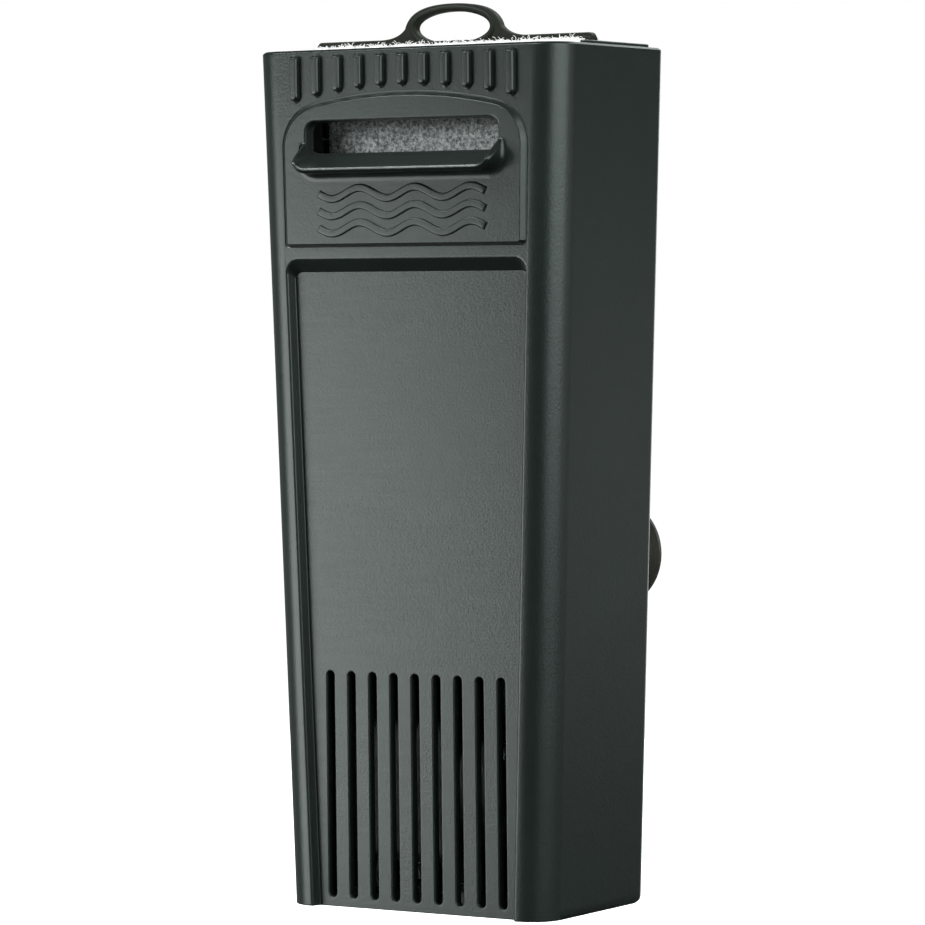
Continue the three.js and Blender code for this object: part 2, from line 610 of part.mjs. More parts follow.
// ---- Assembly ----
const plastic = (color, roughness = 0.55) => new THREE.MeshStandardMaterial({ color, roughness, metalness: 0 });
const metal = (color, roughness = 0.4) => new THREE.MeshStandardMaterial({ color, roughness, metalness: 1 });
const BLACK = plastic(0x1d2221);
const BLACK_INNER = plastic(0x161a19, 0.6);
const GREY = plastic(0x3a3f40, 0.5);
const RUBBER = plastic(0x1a1a19, 0.8);
const FLOSS = plastic(0xe9ecea, 0.95);
const CARBON = plastic(0x0c0c0c, 0.9);
const CERAMIC = plastic(0xf2efe6, 0.2);
const FERRITE = plastic(0x2b2b2c, 0.45);
const STEEL = metal(0x8a8d90);
const COPPER = metal(0xb4622d, 0.35);
const IVORY = plastic(0xd9d4c4, 0.5);

function place(group, name, body, material) {
  const mesh = new THREE.Mesh(geometryOf(body), material);
  mesh.name = name;
  group.add(mesh);
  return mesh;
}

const filter = new THREE.Group();

const housing = new THREE.Group();
place(housing, "case", makeCase(), BLACK);
place(housing, "top_cover", makeTopCover(), BLACK);
filter.add(housing);

const cartridge = new THREE.Group();
cartridge.position.y = CARTRIDGE.y;
place(cartridge, "cartridge_frame", makeCartridgeFrame(), BLACK_INNER);
place(cartridge, "floss_front", makeFloss(-1), FLOSS);
place(cartridge, "floss_rear", makeFloss(1), FLOSS);
cells().forEach((cell, i) => place(cartridge, `carbon_cell_${i + 1}`, makeCarbon(cell), CARBON));
filter.add(cartridge);

const pump = new THREE.Group();
pump.position.set(0, AXIS.y, AXIS.z);
place(pump, "motor_housing", makeMotorHousing(), GREY);
place(pump, "motor_cap", makeMotorCap(), BLACK_INNER);
place(pump, "stator_core", makeStatorCore(), STEEL);
place(pump, "coil_bobbin", makeCoilBobbin(), IVORY);
place(pump, "coil_winding", makeCoilWinding(), COPPER);
place(pump, "rotor_shaft", makeShaft(), CERAMIC);
place(pump, "shaft_bush_inner", makeBush(SHAFT.left, -1, 3), RUBBER);
place(pump, "shaft_bush_outer", makeBush(SHAFT.right, 1, 2.8), RUBBER);
place(pump, "rotor_magnet", makeMagnet(), FERRITE);
place(pump, "impeller", makeImpeller(), IVORY);
place(pump, "volute", makeVolute(), GREY);
place(pump, "impeller_cover_seal", makeCoverSeal(), RUBBER);
place(pump, "impeller_cover", makeImpellerCover(), GREY);
place(pump, "outlet_seal", makeOutletSeal(), RUBBER);
place(pump, "cord_gland", makeCordGland(), RUBBER);
filter.add(pump);

const base = new THREE.Group();
place(base, "base_plate", makeBasePlate(), BLACK);
FEET.forEach((foot, i) => place(base, `rubber_foot_${i + 1}`, makeFoot(foot), RUBBER));
filter.add(base);

const mounting = new THREE.Group();
place(mounting, "bracket", makeBracket(), BLACK);
place(mounting, "suction_cup_left", makeCup(-1), RUBBER);
place(mounting, "suction_cup_right", makeCup(1), RUBBER);
filter.add(mounting);

export default filter;
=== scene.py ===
"""The looks of an internal aquarium filter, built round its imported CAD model.

The CAD gives every piece's place. This script rebuilds the visible surfaces with their fillets and relief,
pads the floss, and sets the materials, the lights and the camera. Shapes are drawn in millimetres and stored
in metres. X runs to the object's left and right, its front faces -Y, and Z is up.
"""
import math
import random

import bmesh
import bpy
from mathutils import Matrix, Vector
from mathutils.geometry import delaunay_2d_cdt
from mathutils.noise import fractal


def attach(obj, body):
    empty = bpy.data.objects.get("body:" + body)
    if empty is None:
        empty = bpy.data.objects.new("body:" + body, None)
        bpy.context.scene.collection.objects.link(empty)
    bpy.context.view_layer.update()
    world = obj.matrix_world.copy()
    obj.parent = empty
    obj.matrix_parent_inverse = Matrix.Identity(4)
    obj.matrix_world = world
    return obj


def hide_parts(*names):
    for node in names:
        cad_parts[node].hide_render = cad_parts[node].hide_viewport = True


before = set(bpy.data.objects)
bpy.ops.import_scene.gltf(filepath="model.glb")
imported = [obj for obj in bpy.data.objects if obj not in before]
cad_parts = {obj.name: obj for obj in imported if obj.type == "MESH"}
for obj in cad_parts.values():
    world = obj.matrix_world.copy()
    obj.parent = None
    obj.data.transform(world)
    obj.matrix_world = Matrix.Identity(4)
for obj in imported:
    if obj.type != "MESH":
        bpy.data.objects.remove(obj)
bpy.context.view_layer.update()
MM = 0.001

# ---- The case's driving sizes ----
HEIGHT = 200
HALF_WIDTH = 36
WIDTH_TAPER = 6.7
FRONT = -22.64
FRONT_TAPER = 1.66
BACK = 22.5
FRONT_RADIUS = 7.5
BACK_RADIUS = 3
HEEL = 4
WALL = 2
BOTTOM = 0
SEAM = 0.2  # rounding of the bottom edge
CORNER_ROUND = 1.8  # rounding of the bottom edge at the rear corners
# Points (inset, drop) across the rim's top: its chamfered outer edge, its flat, and its small inner edge.
RIM_PROFILE = [(0, 0.6), (0.03, 0.5), (0.1, 0.42), (0.62, 0.05), (0.72, 0),
               (WALL - 0.2, 0), (WALL - 0.06, 0.06), (WALL, 0.2)]
DECK_BOTTOM = 58
DECK_TOP = 60.5
OUTLET_X = 9.4
OUTLET_Y = 9.8
OUTLET_RADIUS = 7
NOTCH_X = -20
NOTCH_HALF = 4.5
NOTCH_SPRING = 21.5  # the height where the notch's round top starts

RECESS_DEPTH = 2.4
RECESS_EDGE = 7.7
RECESS_RUN = 1.37
RECESS_TOP = 152
RECESS_SLOPE = 3.7
SLOT_COUNT = 9
SLOT_PITCH = 5.91
SLOT_RADIUS = 1
SLOT_BOTTOM = 2.2
SLOT_TOP = 55.3

PANEL_RAISE = 1
WAVE_HEIGHTS = (158.6, 162.6, 166.6)
RIB_COUNT = 11
RIB_PITCH = 5.95
RIB_RADIUS = 1.15
RIB_TOP = 198.6
RIB_RAMP = 0.14  # how far a rib's end leans in for each millimetre it stands out

WINDOW_HALF = 26.5
WINDOW_TOP = 183.45
WINDOW_FLOOR = 172.4
SPOUT_REACH = 5.5
SPOUT_WALL = 1.2
SPOUT_FALL = 0.42  # how far its floor rises for each millimetre inward
EAR_TOP = 177.5
EAR_END = 178.4
EAR_SLOPE = 0.854

GUIDE_FRONT = -5.6
GUIDE_REAR = 0.4
GUIDE_THICK = 1.2
GUIDE_REACH = 4.5
GUIDE_TOP = 196
RAIL_WEB = 12
RAIL_THICK = 2
RAIL_LIP = 2.5
RAIL_REACH = 3.4
RAIL_LIP_THICK = 1.5
RAIL_BOTTOM = 58
RAIL_TOP = 105.3
RAIL_STOP = 3

# ---- The other pieces ----
COVER_HALF = 40.25
COVER_BACK = 20.2
COVER_FRONT = 4.6
COVER_ARM = 1.65
COVER_ARM_FRONT = -9
COVER_BOTTOM = 199.3
COVER_TOP = 200.9
CARTRIDGE_Y = -2
CARTRIDGE_BOTTOM = 60.8
CARTRIDGE_TOP = 202
LOOP_CENTRE = 205.3
LOOP_HALF = 10.3
LOOP_RISE = 3.67
LOOP_BAND = 1.9
PAD_THICK = 2.7
FLOSS_BOTTOM = 67.5
FLOSS_TOP = 201.4
CUP_X = 21.2
CUP_Z = 81.5
FLOOR_DROP = 0.08  # metres; the floor lies below the pump when it is pulled out


def half_width(z):
    return HALF_WIDTH + WIDTH_TAPER * z / HEIGHT


def front_at(z):
    return FRONT - FRONT_TAPER * z / HEIGHT


def draw_in(radius, z):
    """How far an edge rounded at the foot draws in at a height."""
    return radius - math.sqrt(radius**2 - max(0, radius - z) ** 2)


def mix(a, b, share):
    return a + (b - a) * share


def arc(x, y, radius, start, end, steps):
    """Points on an arc, from one angle in degrees to another, both ends included."""
    turns = [math.radians(mix(start, end, i / steps)) for i in range(steps + 1)]
    return [(x + radius * math.cos(t), y + radius * math.sin(t)) for t in turns]


def mirrored(points):
    """An outline from its right half: the half itself, and then its mirror image in reverse order."""
    return points + [(-x, y) for x, y in reversed(points)]


def offset(points, distance):
    """A closed outline moved outward by a distance. The outline runs anticlockwise."""
    moved = []
    for before, here, after in zip(points[-1:] + points[:-1], points, points[1:] + points[:1]):
        a = (Vector(here) - Vector(before)).normalized()
        b = (Vector(after) - Vector(here)).normalized()
        out = Vector((a.y + b.y, -a.x - b.x))
        scale = distance / max(0.3, 0.5 * out.length_squared)
        moved.append((here[0] + out.x * scale, here[1] + out.y * scale))
    return moved


def rounded(points, radius, steps=3):
    """An open profile with its inner corners rounded, as far as its sides allow."""
    made = [points[0]]
    for before, here, after in zip(points, points[1:], points[2:]):
        middle = Vector(here)
        back, on = Vector(before) - middle, Vector(after) - middle
        reach = min(radius, 0.45 * back.length, 0.45 * on.length)
        start = middle + back.normalized() * reach
        end = middle + on.normalized() * reach
        for i in range(steps + 1):
            share = i / steps
            made.append(tuple(start.lerp(middle, share).lerp(middle.lerp(end, share), share)))
    made.append(points[-1])
    return made


def bezier(points, steps):
    """Points on a curve with any number of control points, without its first."""
    made = []
    for i in range(1, steps + 1):
        layer = [Vector(p) for p in points]
        while len(layer) > 1:
            layer = [a.lerp(b, i / steps) for a, b in zip(layer, layer[1:])]
        made.append(tuple(layer[0]))
    return made


def rectangle(x, z, radius, steps=5):
    """A rectangle with round corners, anticlockwise from its lower left."""
    left, right, low, high = x[0] + radius, x[1] - radius, z[0] + radius, z[1] - radius
    points = []
    for i, centre in enumerate([(left, low), (right, low), (right, high), (left, high)]):
        points += arc(*centre, radius, 180 + 90 * i, 270 + 90 * i, steps)
    return points


def in_xz(y):
    """Puts flat points in an upright plane across Y."""
    return lambda x, z, level: (x, y + level, z)


def in_xy(x, y, level):
    return x, y, level


def step_profile(height, first, second, slope, steps=4):
    """Points (advance, rise) of a step: a rounded start, a straight slope in degrees and a rounded end."""
    angle = math.radians(slope)
    rise = (first + second) * (1 - math.cos(angle))
    run = (height - rise) / math.tan(angle)
    reach = run + (first + second) * math.sin(angle)
    turns = [angle * i / steps for i in range(steps + 1)]
    points = [(first * math.sin(t), first * (1 - math.cos(t))) for t in turns]
    turns.reverse()
    return points + [(reach - second * math.sin(t), height - second * (1 - math.cos(t))) for t in turns]


class Surface:
    """Collects the points and faces of one mesh."""

    def __init__(self):
        self.points = []
        self.faces = []

    def ring(self, points):
        start = len(self.points)
        self.points += [tuple(p) for p in points]
        return list(range(start, len(self.points)))

    def bridge(self, low, high, closed=True):
        count = len(low)
        for i in range(count if closed else count - 1):
            j = (i + 1) % count
            self.faces.append((low[i], low[j], high[j], high[i]))

    def loft(self, rings, closed=True):
        for low, high in zip(rings, rings[1:]):
            self.bridge(low, high, closed)

    def fill(self, loops, up=2):
        """Fills the flat space inside an odd number of the loops. It runs across X and up Y (1) or Z (2)."""
        order = [i for loop in loops for i in loop]
        flat = [Vector((self.points[i][0], self.points[i][up])) for i in order]
        edges = []
        start = 0
        for loop in loops:
            edges += [(start + k, start + (k + 1) % len(loop)) for k in range(len(loop))]
            start += len(loop)
        _, _, triangles, origin, _, _ = delaunay_2d_cdt(flat, edges, [], 0, 1e-7)
        sides = [(flat[a], flat[b]) for a, b in edges]
        for triangle in triangles:
            corners = [order[origin[v][0]] for v in triangle]
            x = sum(self.points[c][0] for c in corners) / 3
            y = sum(self.points[c][up] for c in corners) / 3
            crossings = sum(
                (a.y > y) != (b.y > y) and x < a.x + (y - a.y) * (b.x - a.x) / (b.y - a.y) for a, b in sides
            )
            if crossings % 2:
                self.faces.append(tuple(corners))

    def slab(self, loops, low, high, radius, place, up=2, steps=3):
        """Adds a plate with rounded edges. The first loop is its outline, and the others are its holes."""
        profile = [(radius * (1 - math.sin(t)), radius * (1 - math.cos(t)))
                   for t in (math.pi / 2 * i / steps for i in range(steps + 1))]
        profile = [(inset, low + rise) for inset, rise in profile] + [
            (inset, high - rise) for inset, rise in reversed(profile)]
        lowest, highest = [], []
        for k, loop in enumerate(loops):
            inward = 1 if k else -1
            rings = []
            for inset, level in profile:
                rings.append(self.ring([place(u, v, level) for u, v in offset(loop, inward * inset)]))
            self.loft(rings)
            lowest.append(rings[0])
            highest.append(rings[-1])
        self.fill(lowest, up)
        self.fill(highest, up)

    def lathe(self, profile, axis, centre, sides=64):
        """Adds a body turned about an X or Y axis. The profile's points are (place along it, radius)."""
        x, y, z = centre
        rings = []
        for along, radius in profile:
            ring = []
            for i in range(sides):
                turn = 2 * math.pi * i / sides
                a, b = radius * math.cos(turn), radius * math.sin(turn)
                point = {"X": (along, a, b), "Y": (a, along, b)}[axis]
                ring.append((x + point[0], y + point[1], z + point[2]))
            rings.append(self.ring(ring))
        self.loft(rings)

    def block(self, x, y, z, bevel=0.3, lean=0):
        """Adds a box with small bevels. A lean of 1 or -1 tilts it outward, as the case's sides are."""
        made = bmesh.new()
        bmesh.ops.create_cube(made, size=1)
        for v in made.verts:
            v.co = Vector((mix(*x, v.co.x + 0.5), mix(*y, v.co.y + 0.5), mix(*z, v.co.z + 0.5)))
        bmesh.ops.bevel(made, geom=made.edges[:], offset=bevel, segments=2, profile=0.5, affect="EDGES")
        start = len(self.points)
        for v in made.verts:
            self.points.append((v.co.x + lean * WIDTH_TAPER * (v.co.z - z[0]) / HEIGHT, v.co.y, v.co.z))
        self.faces += [tuple(start + v.index for v in face.verts) for face in made.faces]
        made.free()

    def build(self, name, body, material, replaces=(), sharp=40):
        """Makes the object, in metres. Without a body, it is a cutter that another piece is cut with."""
        mesh = bpy.data.meshes.new(name)
        mesh.from_pydata([Vector(p) * MM for p in self.points], [], self.faces)
        piece = bpy.data.objects.new(name, mesh)
        bpy.context.scene.collection.objects.link(piece)
        settle(mesh, sharp)
        if body:
            finish(piece, body, material, replaces)
        return piece


def settle(mesh, sharp):
    """Joins a mesh's points, turns its faces outward, and shades it smooth but for its sharper edges."""
    made = bmesh.new()
    made.from_mesh(mesh)
    bmesh.ops.remove_doubles(made, verts=made.verts, dist=1e-6)
    bmesh.ops.dissolve_degenerate(made, edges=made.edges, dist=1e-7)
    bmesh.ops.recalc_face_normals(made, faces=made.faces)
    for face in made.faces:
        face.smooth = True
    for edge in made.edges:
        edge.smooth = edge.is_manifold and edge.calc_face_angle(0) < math.radians(sharp)
    made.to_mesh(mesh)
    made.free()


def finish(piece, body, material, replaces=()):
    piece.modifiers.new("normals", "WEIGHTED_NORMAL").keep_sharp = True
    piece.data.materials.append(material)
    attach(piece, body)
    if replaces:
        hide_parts(*replaces)


def carve(piece, cutter, sharp=40):
    """Cuts one mesh out of another and removes the cutter."""
    cutting = piece.modifiers.new("cut", "BOOLEAN")
    cutting.object = cutter
    cutting.solver = "EXACT"
    shown = piece.evaluated_get(bpy.context.evaluated_depsgraph_get())
    mesh = bpy.data.meshes.new_from_object(shown)
    piece.modifiers.remove(cutting)
    piece.data = mesh
    bpy.data.objects.remove(cutter)
    settle(mesh, sharp)


# ---- Materials ----
def feed(tree, node, inputs):
    """Sets a node's inputs, each to a value or to another node's output."""
    for name, value in inputs.items():
        if isinstance(value, bpy.types.NodeSocket):
            tree.links.new(value, node.inputs[name])
        else:
            node.inputs[name].default_value = value


def add_node(tree, kind, inputs=None, **settings):
    """Adds a node with settings of its own and returns its outputs."""
    made = tree.nodes.new(kind)
    for name, value in settings.items():
        setattr(made, name, value)
    feed(tree, made, inputs or {})
    return made.outputs


def new_material(name):
    """Returns a material, its node tree, its shader, and the output that gives places on the object."""
    material = bpy.data.materials.new(name)
    material.use_nodes = True
    tree = material.node_tree
    place = add_node(tree, "ShaderNodeTexCoord")["Object"]
    return material, tree, tree.nodes["Principled BSDF"], place


def noise(tree, place, scale, detail=3, roughness=0.5):
    inputs = {"Vector": place, "Scale": scale, "Detail": detail, "Roughness": roughness}
    return add_node(tree, "ShaderNodeTexNoise", inputs)["Fac"]


def ramp(tree, value, stops):
    """A colour ramp: stops are (position, colour), and a colour may be one grey number."""
    made = tree.nodes.new("ShaderNodeValToRGB")
    elements = made.color_ramp.elements
    while len(elements) < len(stops):
        elements.new(0.5)
    for element, (position, colour) in zip(elements, stops):
        element.position = position
        element.color = (*colour, 1) if isinstance(colour, tuple) else (colour, colour, colour, 1)
    feed(tree, made, {"Fac": value})
    return made.outputs["Color"]


def spread(tree, value, middle, width):
    """A number that varies with another, from a width below its middle to a width above."""
    return ramp(tree, value, [(0.3, middle - width), (0.7, middle + width)])


def shares(tree, value, low, high, start=0, end=1):
    """Maps a value between two levels onto a number between two ends."""
    inputs = {"Value": value, "From Min": low, "From Max": high, "To Min": start, "To Max": end}
    return add_node(tree, "ShaderNodeMapRange", inputs)["Result"]


def bump(tree, height, distance, strength=1.0, below=None):
    inputs = {"Height": height, "Distance": distance, "Strength": strength}
    if below:
        inputs["Normal"] = below
    return add_node(tree, "ShaderNodeBump", inputs)["Normal"]


def moulded_plastic(name, colour, roughness, grain=0.00004, specular=0.5):
    """Satin moulded plastic with a fine grain, faint flow marks, and a gloss that varies in level streaks."""
    material, tree, shader, place = new_material(name)
    tones = [(0.3, tuple(c * 0.9 for c in colour)), (0.7, tuple(c * 1.1 for c in colour))]
    level = add_node(tree, "ShaderNodeVectorMath", {0: place, 1: (120, 120, 1500)}, operation="MULTIPLY")
    flow = bump(tree, noise(tree, place, 220, 2), 0.00003, 0.6)
    feed(tree, shader, {
        "Base Color": ramp(tree, noise(tree, place, 35, 4), tones),
        "Roughness": spread(tree, noise(tree, level["Vector"], 1, 4, 0.6), roughness, 0.025),
        "Specular IOR Level": specular,
        "Normal": bump(tree, noise(tree, place, 1700, 3, 0.6), grain, 1.0, flow),
    })
    return material


def rubber(name, colour, roughness):
    """Soft black rubber: a faint bloom in its colour and a very fine, dull grain."""
    material, tree, shader, place = new_material(name)
    cloud = noise(tree, place, 90, 5, 0.6)
    bloom = tuple(c * 1.5 + 0.004 for c in colour)
    feed(tree, shader, {
        "Base Color": ramp(tree, cloud, [(0.35, colour), (0.75, bloom)]),
        "Roughness": spread(tree, cloud, roughness, 0.06),
        "Specular IOR Level": 0.4,
        "Normal": bump(tree, noise(tree, place, 1500, 3, 0.6), 0.00003),
    })
    return material


def fibrous(name):
    """White filter floss in painted light and shade: grey and darkest in its hollows, whiter towards its top,
    and with a faint painted glow along its top edge.
    """
    material, tree, shader, place = new_material(name)
    mats = noise(tree, place, 1100, 6, 0.8)
    wander = add_node(tree, "ShaderNodeTexNoise", {"Vector": place, "Scale": 500})["Color"]
    warped = add_node(tree, "ShaderNodeMixRGB", {"Fac": 0.003, "Color1": place, "Color2": wander})["Color"]
    web = {"Vector": warped, "Scale": 1300}
    strands = add_node(tree, "ShaderNodeTexVoronoi", web, feature="DISTANCE_TO_EDGE")["Distance"]
    relief = add_node(tree, "ShaderNodeMath", {0: strands, 1: -1.5, 2: mats}, operation="MULTIPLY_ADD")
    # Painted shade: the floss is grey, and darkest in its hollows, where its matting sinks.
    painted_shade_greys = [(0.4, (0.14, 0.15, 0.15)), (0.5, (0.50, 0.52, 0.52)), (0.6, (0.92, 0.94, 0.93))]
    height = add_node(tree, "ShaderNodeSeparateXYZ", {"Vector": place})["Z"]
    # Painted light: the floss turns white towards its top, where light from above falls on it.
    painted_top_light = {"Fac": shares(tree, height, 0.188, 0.2006), "Color1": ramp(tree, mats, painted_shade_greys),
              "Color2": (0.93, 0.94, 0.93, 1)}
    feed(tree, shader, {
        "Base Color": add_node(tree, "ShaderNodeMixRGB", painted_top_light)["Color"],
        "Emission Color": (1, 1, 1, 1),
        # Painted glow: the top edge shines of itself, standing in for light from above on it.
        "Emission Strength": shares(tree, height, 0.1985, 0.2006, end=0.6),
        "Roughness": 0.95,
        "Specular IOR Level": 0.15,
        "Sheen Weight": 0.25,
        "Normal": bump(tree, relief["Value"], 0.00025),
    })
    return material


def granular(name):
    """Activated carbon: packed black grains."""
    material, tree, shader, place = new_material(name)
    grains = add_node(tree, "ShaderNodeTexVoronoi", {"Vector": place, "Scale": 520})
    feed(tree, shader, {
        "Base Color": ramp(tree, grains["Color"], [(0.1, 0.006), (0.9, 0.03)]),
        "Roughness": 0.7,
        "Normal": bump(tree, grains["Distance"], 0.0007, -1.0),
    })
    return material


def striped(name, scale, depth, colours, roughness, along="Z"):
    """A metal with fine lines across it: a stack of steel sheets, or enamelled wire in close turns."""
    material, tree, shader, place = new_material(name)
    inputs = {"Vector": place, "Scale": scale, "Distortion": 0.4}
    lines = add_node(tree, "ShaderNodeTexWave", inputs, bands_direction=along)["Fac"]
    feed(tree, shader, {
        # Darker where the lines' bump sinks: dark joints between the steel sheets, and painted shade between
        # the wire's turns.
        "Base Color": ramp(tree, lines, [(0.1, colours[0]), (0.6, colours[1])]),
        "Metallic": 1,
        "Roughness": spread(tree, noise(tree, place, 260, 4), roughness, 0.08),
        "Normal": bump(tree, lines, depth),
    })
    return material


# ---- Case ----
def wrap(z, inset=0, setback=0, heel_gap=0):
    """The case's outline at a height, from the right front corner round the back to the left front corner.

    inset moves it inward, setback moves its front back, and heel_gap keeps it inside the rounded heel.
    """
    side = half_width(z) - inset
    front = front_at(z) + inset + setback
    back = BACK - inset
    near = FRONT_RADIUS - inset
    far = max(BACK_RADIUS - inset, 1)
    turn = far if inset >= WALL else far - draw_in(CORNER_ROUND, z)
    right = arc(side - near, front + near, near, -90, 0, 20) + arc(side - far, back - far, turn, 0, 90, 10)
    limit = BACK - draw_in(HEEL, z) - heel_gap
    return [(x, min(y, limit), z) for x, y in mirrored(right)]


def on_front(points, height):
    """Points drawn on the front in X and Z, stood out from it by a height."""
    return [(x, front_at(z) - height, z) for x, z in points]


def recess_outline(run, drop, radius, foot):
    """The lower panel's edge, from its lower left end up and over to its lower right end."""
    edge = RECESS_EDGE + run
    top = RECESS_TOP - drop
    side = half_width(top) - edge
    return mirrored([(edge - half_width(foot), foot), *arc(radius - side, top - radius, radius, 180, 90, 10)])


def panel_outline(inset, foot):
    """The arched panel's outline, set in by one distance round its arch and by another along its foot."""
    bottom = 154.6 + foot
    low = 32.95 - inset
    side = 33.4 - inset
    corner = max(0.9 - 0.5 * inset, 0.3)
    shoulder = 10.03 - inset
    crown = 126.4 - inset
    top = 189.7 - inset
    shoulder_z = 177.3
    tilt = math.degrees(math.atan((side - shoulder) / (shoulder_z - top + crown)))
    points = arc(corner - low, bottom + corner, corner, 180, 270, 5)
    points += arc(low - corner, bottom + corner, corner, 270, 360, 5)
    points += arc(side - shoulder, shoulder_z, shoulder, 0, 90 - tilt, 16)
    points += arc(0, top - crown, crown, 90 - tilt, 90 + tilt, 24)[1:-1]
    points += arc(shoulder - side, shoulder_z, shoulder, 90 + tilt, 180, 16)
    return points


def stadium(x, low, high, radius):
    """A tall outline with round ends, whose ends' centres are at the two heights."""
    return arc(x, high, radius, 0, 180, 10) + arc(x, low, radius, 180, 360, 10)


def rib_foot(x):
    """The height of a short rib's lower end, which follows the arch below it."""
    crown, radius = 191.1, 146
    return crown - radius + math.sqrt(radius**2 - x**2)


def rib_outline(x, low, high, out):
    """A rib's outline, with a round lower end and a squarer upper end."""
    half = RIB_RADIUS + out
    corner = max(0.15, 0.55 + 0.5 * out)
    points = arc(x + half - corner, high + out - corner, corner, 0, 90, 5)
    points += arc(x - half + corner, high + out - corner, corner, 90, 180, 5)
    return points + arc(x, low, half, 180, 360, 12)


def add_moulding(skin, steps):
    """Lofts a relief through steps of (outline, height over the front). Returns its rings."""
    rings = [skin.ring(on_front(outline, height)) for outline, height in steps]
    skin.loft(rings)
    return rings


def add_ribs(skin):
    """Raised ribs under the rim, with chamfered shoulders and ramped ends. Returns their outlines."""
    outlines = []
    profile = [(0.2, -0.08), (0.03, -0.1), (0, 0.04), (-0.14, 0.95), (-0.2, 1.06), (-0.4, 1.32), (-0.5, 1.36)]
    for i in range(RIB_COUNT):
        x = (i - (RIB_COUNT - 1) / 2) * RIB_PITCH
        low = rib_foot(x) + RIB_RADIUS
        steps = [(rib_outline(x, low, RIB_TOP, out), 0) for out in (0.4, 0.3)]
        for out, height in profile:
            lean = RIB_RAMP * max(0, height)
            steps.append((rib_outline(x, low + lean, RIB_TOP - 0.3 * lean, out), height))
        rings = add_moulding(skin, steps)
        skin.fill([rings[-1]])
        outlines.append(rings[0])
    return outlines


def add_slots(skin):
    """The inlet slots. Returns their outlines on the recessed face and on the inner wall."""
    outer, inner = [], []
    low = SLOT_BOTTOM + SLOT_RADIUS
    high = SLOT_TOP - SLOT_RADIUS
    profile = [(0.42, 0), (0.3, 0), (0.13, 0.05), (0.04, 0.13), (0, 0.3), (0, WALL)]
    for i in range(SLOT_COUNT):
        x = (i - (SLOT_COUNT - 1) / 2) * SLOT_PITCH
        rings = add_moulding(skin, [(stadium(x, low, high, SLOT_RADIUS + out), -RECESS_DEPTH - depth)
                                    for out, depth in profile])
        outer.append(rings[0])
        inner.append(rings[-1])
    return outer, inner


def wave_outline(middle):
    """A band that runs as a wave across the panel, anticlockwise."""
    reach, length, amplitude, half, steps = 23, 15.3, 1.25, 0.95, 60
    lower, upper = [], []
    for i in range(steps + 1):
        x = mix(-reach, reach, i / steps)
        phase = 2 * math.pi * x / length
        slope = amplitude * 2 * math.pi / length * math.cos(phase)
        lean = math.hypot(1, slope)
        z = middle + amplitude * math.sin(phase)
        lower.append((x + half * slope / lean, z - half / lean))
        upper.append((x - half * slope / lean, z + half / lean))
    return lower + upper[::-1]


def add_waves(skin):
    """Three low waves on the panel. Returns their outlines."""
    outlines = []
    profile = [(-0.1, 0), (0, 0), (0.06, 0.08), (0.16, 0.34), (0.26, 0.42), (0.42, 0.45)]
    for middle in WAVE_HEIGHTS:
        outline = wave_outline(middle)
        rings = add_moulding(skin, [(offset(outline, -inset), PANEL_RAISE + rise) for inset, rise in profile])
        skin.fill([rings[-1]])
        outlines.append(rings[0])
    return outlines


def window_outline():
    """The outlet's inner edge at the spout's front, anticlockwise from its lower right corner."""
    low, high = 3, 2.5  # the radii of its lower and upper corners
    ear = [mix(WINDOW_FLOOR + low, 179, i / 14) for i in range(1, 15)]
    right = arc(WINDOW_HALF - low, WINDOW_FLOOR + low, low, 270, 360, 12)
    right += [(WINDOW_HALF, z) for z in ear]
    return mirrored(right + arc(WINDOW_HALF - high, WINDOW_TOP - high, high, 0, 90, 8))


def spout_reach(z):
    """How far the spout stands out of the panel at a height: its two ears run back to nothing."""
    return max(0, min(SPOUT_REACH, (EAR_END - z) / EAR_SLOPE))


def spout_foot(outline):
    """The fillet where the spout stands on the panel, which grows with the spout's reach."""
    turns = (0, 0.4, 0.8, 1.2, math.pi / 2)
    fillet = [(0.9, 0)] + [(0.75 * (1 - math.sin(t)), 0.75 * (1 - math.cos(t))) for t in turns]
    rings = []
    for out, rise in fillet:
        ring = []
        for (x, z), (wall_x, wall_z) in zip(offset(outline, SPOUT_WALL + out), offset(outline, SPOUT_WALL)):
            reach = spout_reach(z)
            grow = 1 + 1.3 * reach / SPOUT_REACH
            height = min(rise * min(1, reach) * grow, reach)
            ring.append((mix(wall_x, x, grow), mix(wall_z, z, grow), PANEL_RAISE + height))
        rings.append(ring)
    return rings


def spout_lip(outline, profile):
    """The spout's edge. Where the spout runs out, its outer edge flattens into the panel."""
    rings = []
    for out, rise in profile:
        ring = []
        for x, z in offset(outline, out):
            reach = spout_reach(z)
            flatten = min(1, reach) if out > 0.6 else 1
            ring.append((x, z, PANEL_RAISE + reach + rise * flatten))
        rings.append(ring)
    return rings


def add_spout(skin):
    """The window and the spout round it, as one closed strip. Returns its outlines on the panel and inside.

    A ring's points are (x, z, height over the front). The inner rings rise inward with the spout's floor.
    """
    outline = window_outline()
    outside = spout_foot(outline)
    outside += spout_lip(outline, [(SPOUT_WALL, -0.85), (1.16, -0.7), (1.06, -0.56), (0.62, -0.08), (0.54, 0),
                                   (0.46, 0)])
    inside = spout_lip(outline, [(0.12, -0.16), (0.04, -0.24), (0, -0.45)])
    reveal = [(0, 0.45), (-0.1, -0.4), (-0.24, -0.9), (-0.26, 0.35 - WALL), (-0.18, 0.1 - WALL)]
    for out, height in [*reveal, (0.05, -WALL)]:
        inside.append([(x, z, height) for x, z in offset(outline, out)])
    placed = [skin.ring([(x, front_at(z) - height, z) for x, z, height in ring]) for ring in outside]
    for ring in inside:
        points = []
        for x, z, height in ring:
            inward = PANEL_RAISE + SPOUT_REACH - height
            share = max(0, min(1, (EAR_TOP - z) / (EAR_TOP - WINDOW_FLOOR)))
            points.append((x, front_at(z) - height, z + SPOUT_FALL * inward * share))
        placed.append(skin.ring(points))
    skin.loft(placed)
    return placed[0], placed[-1]


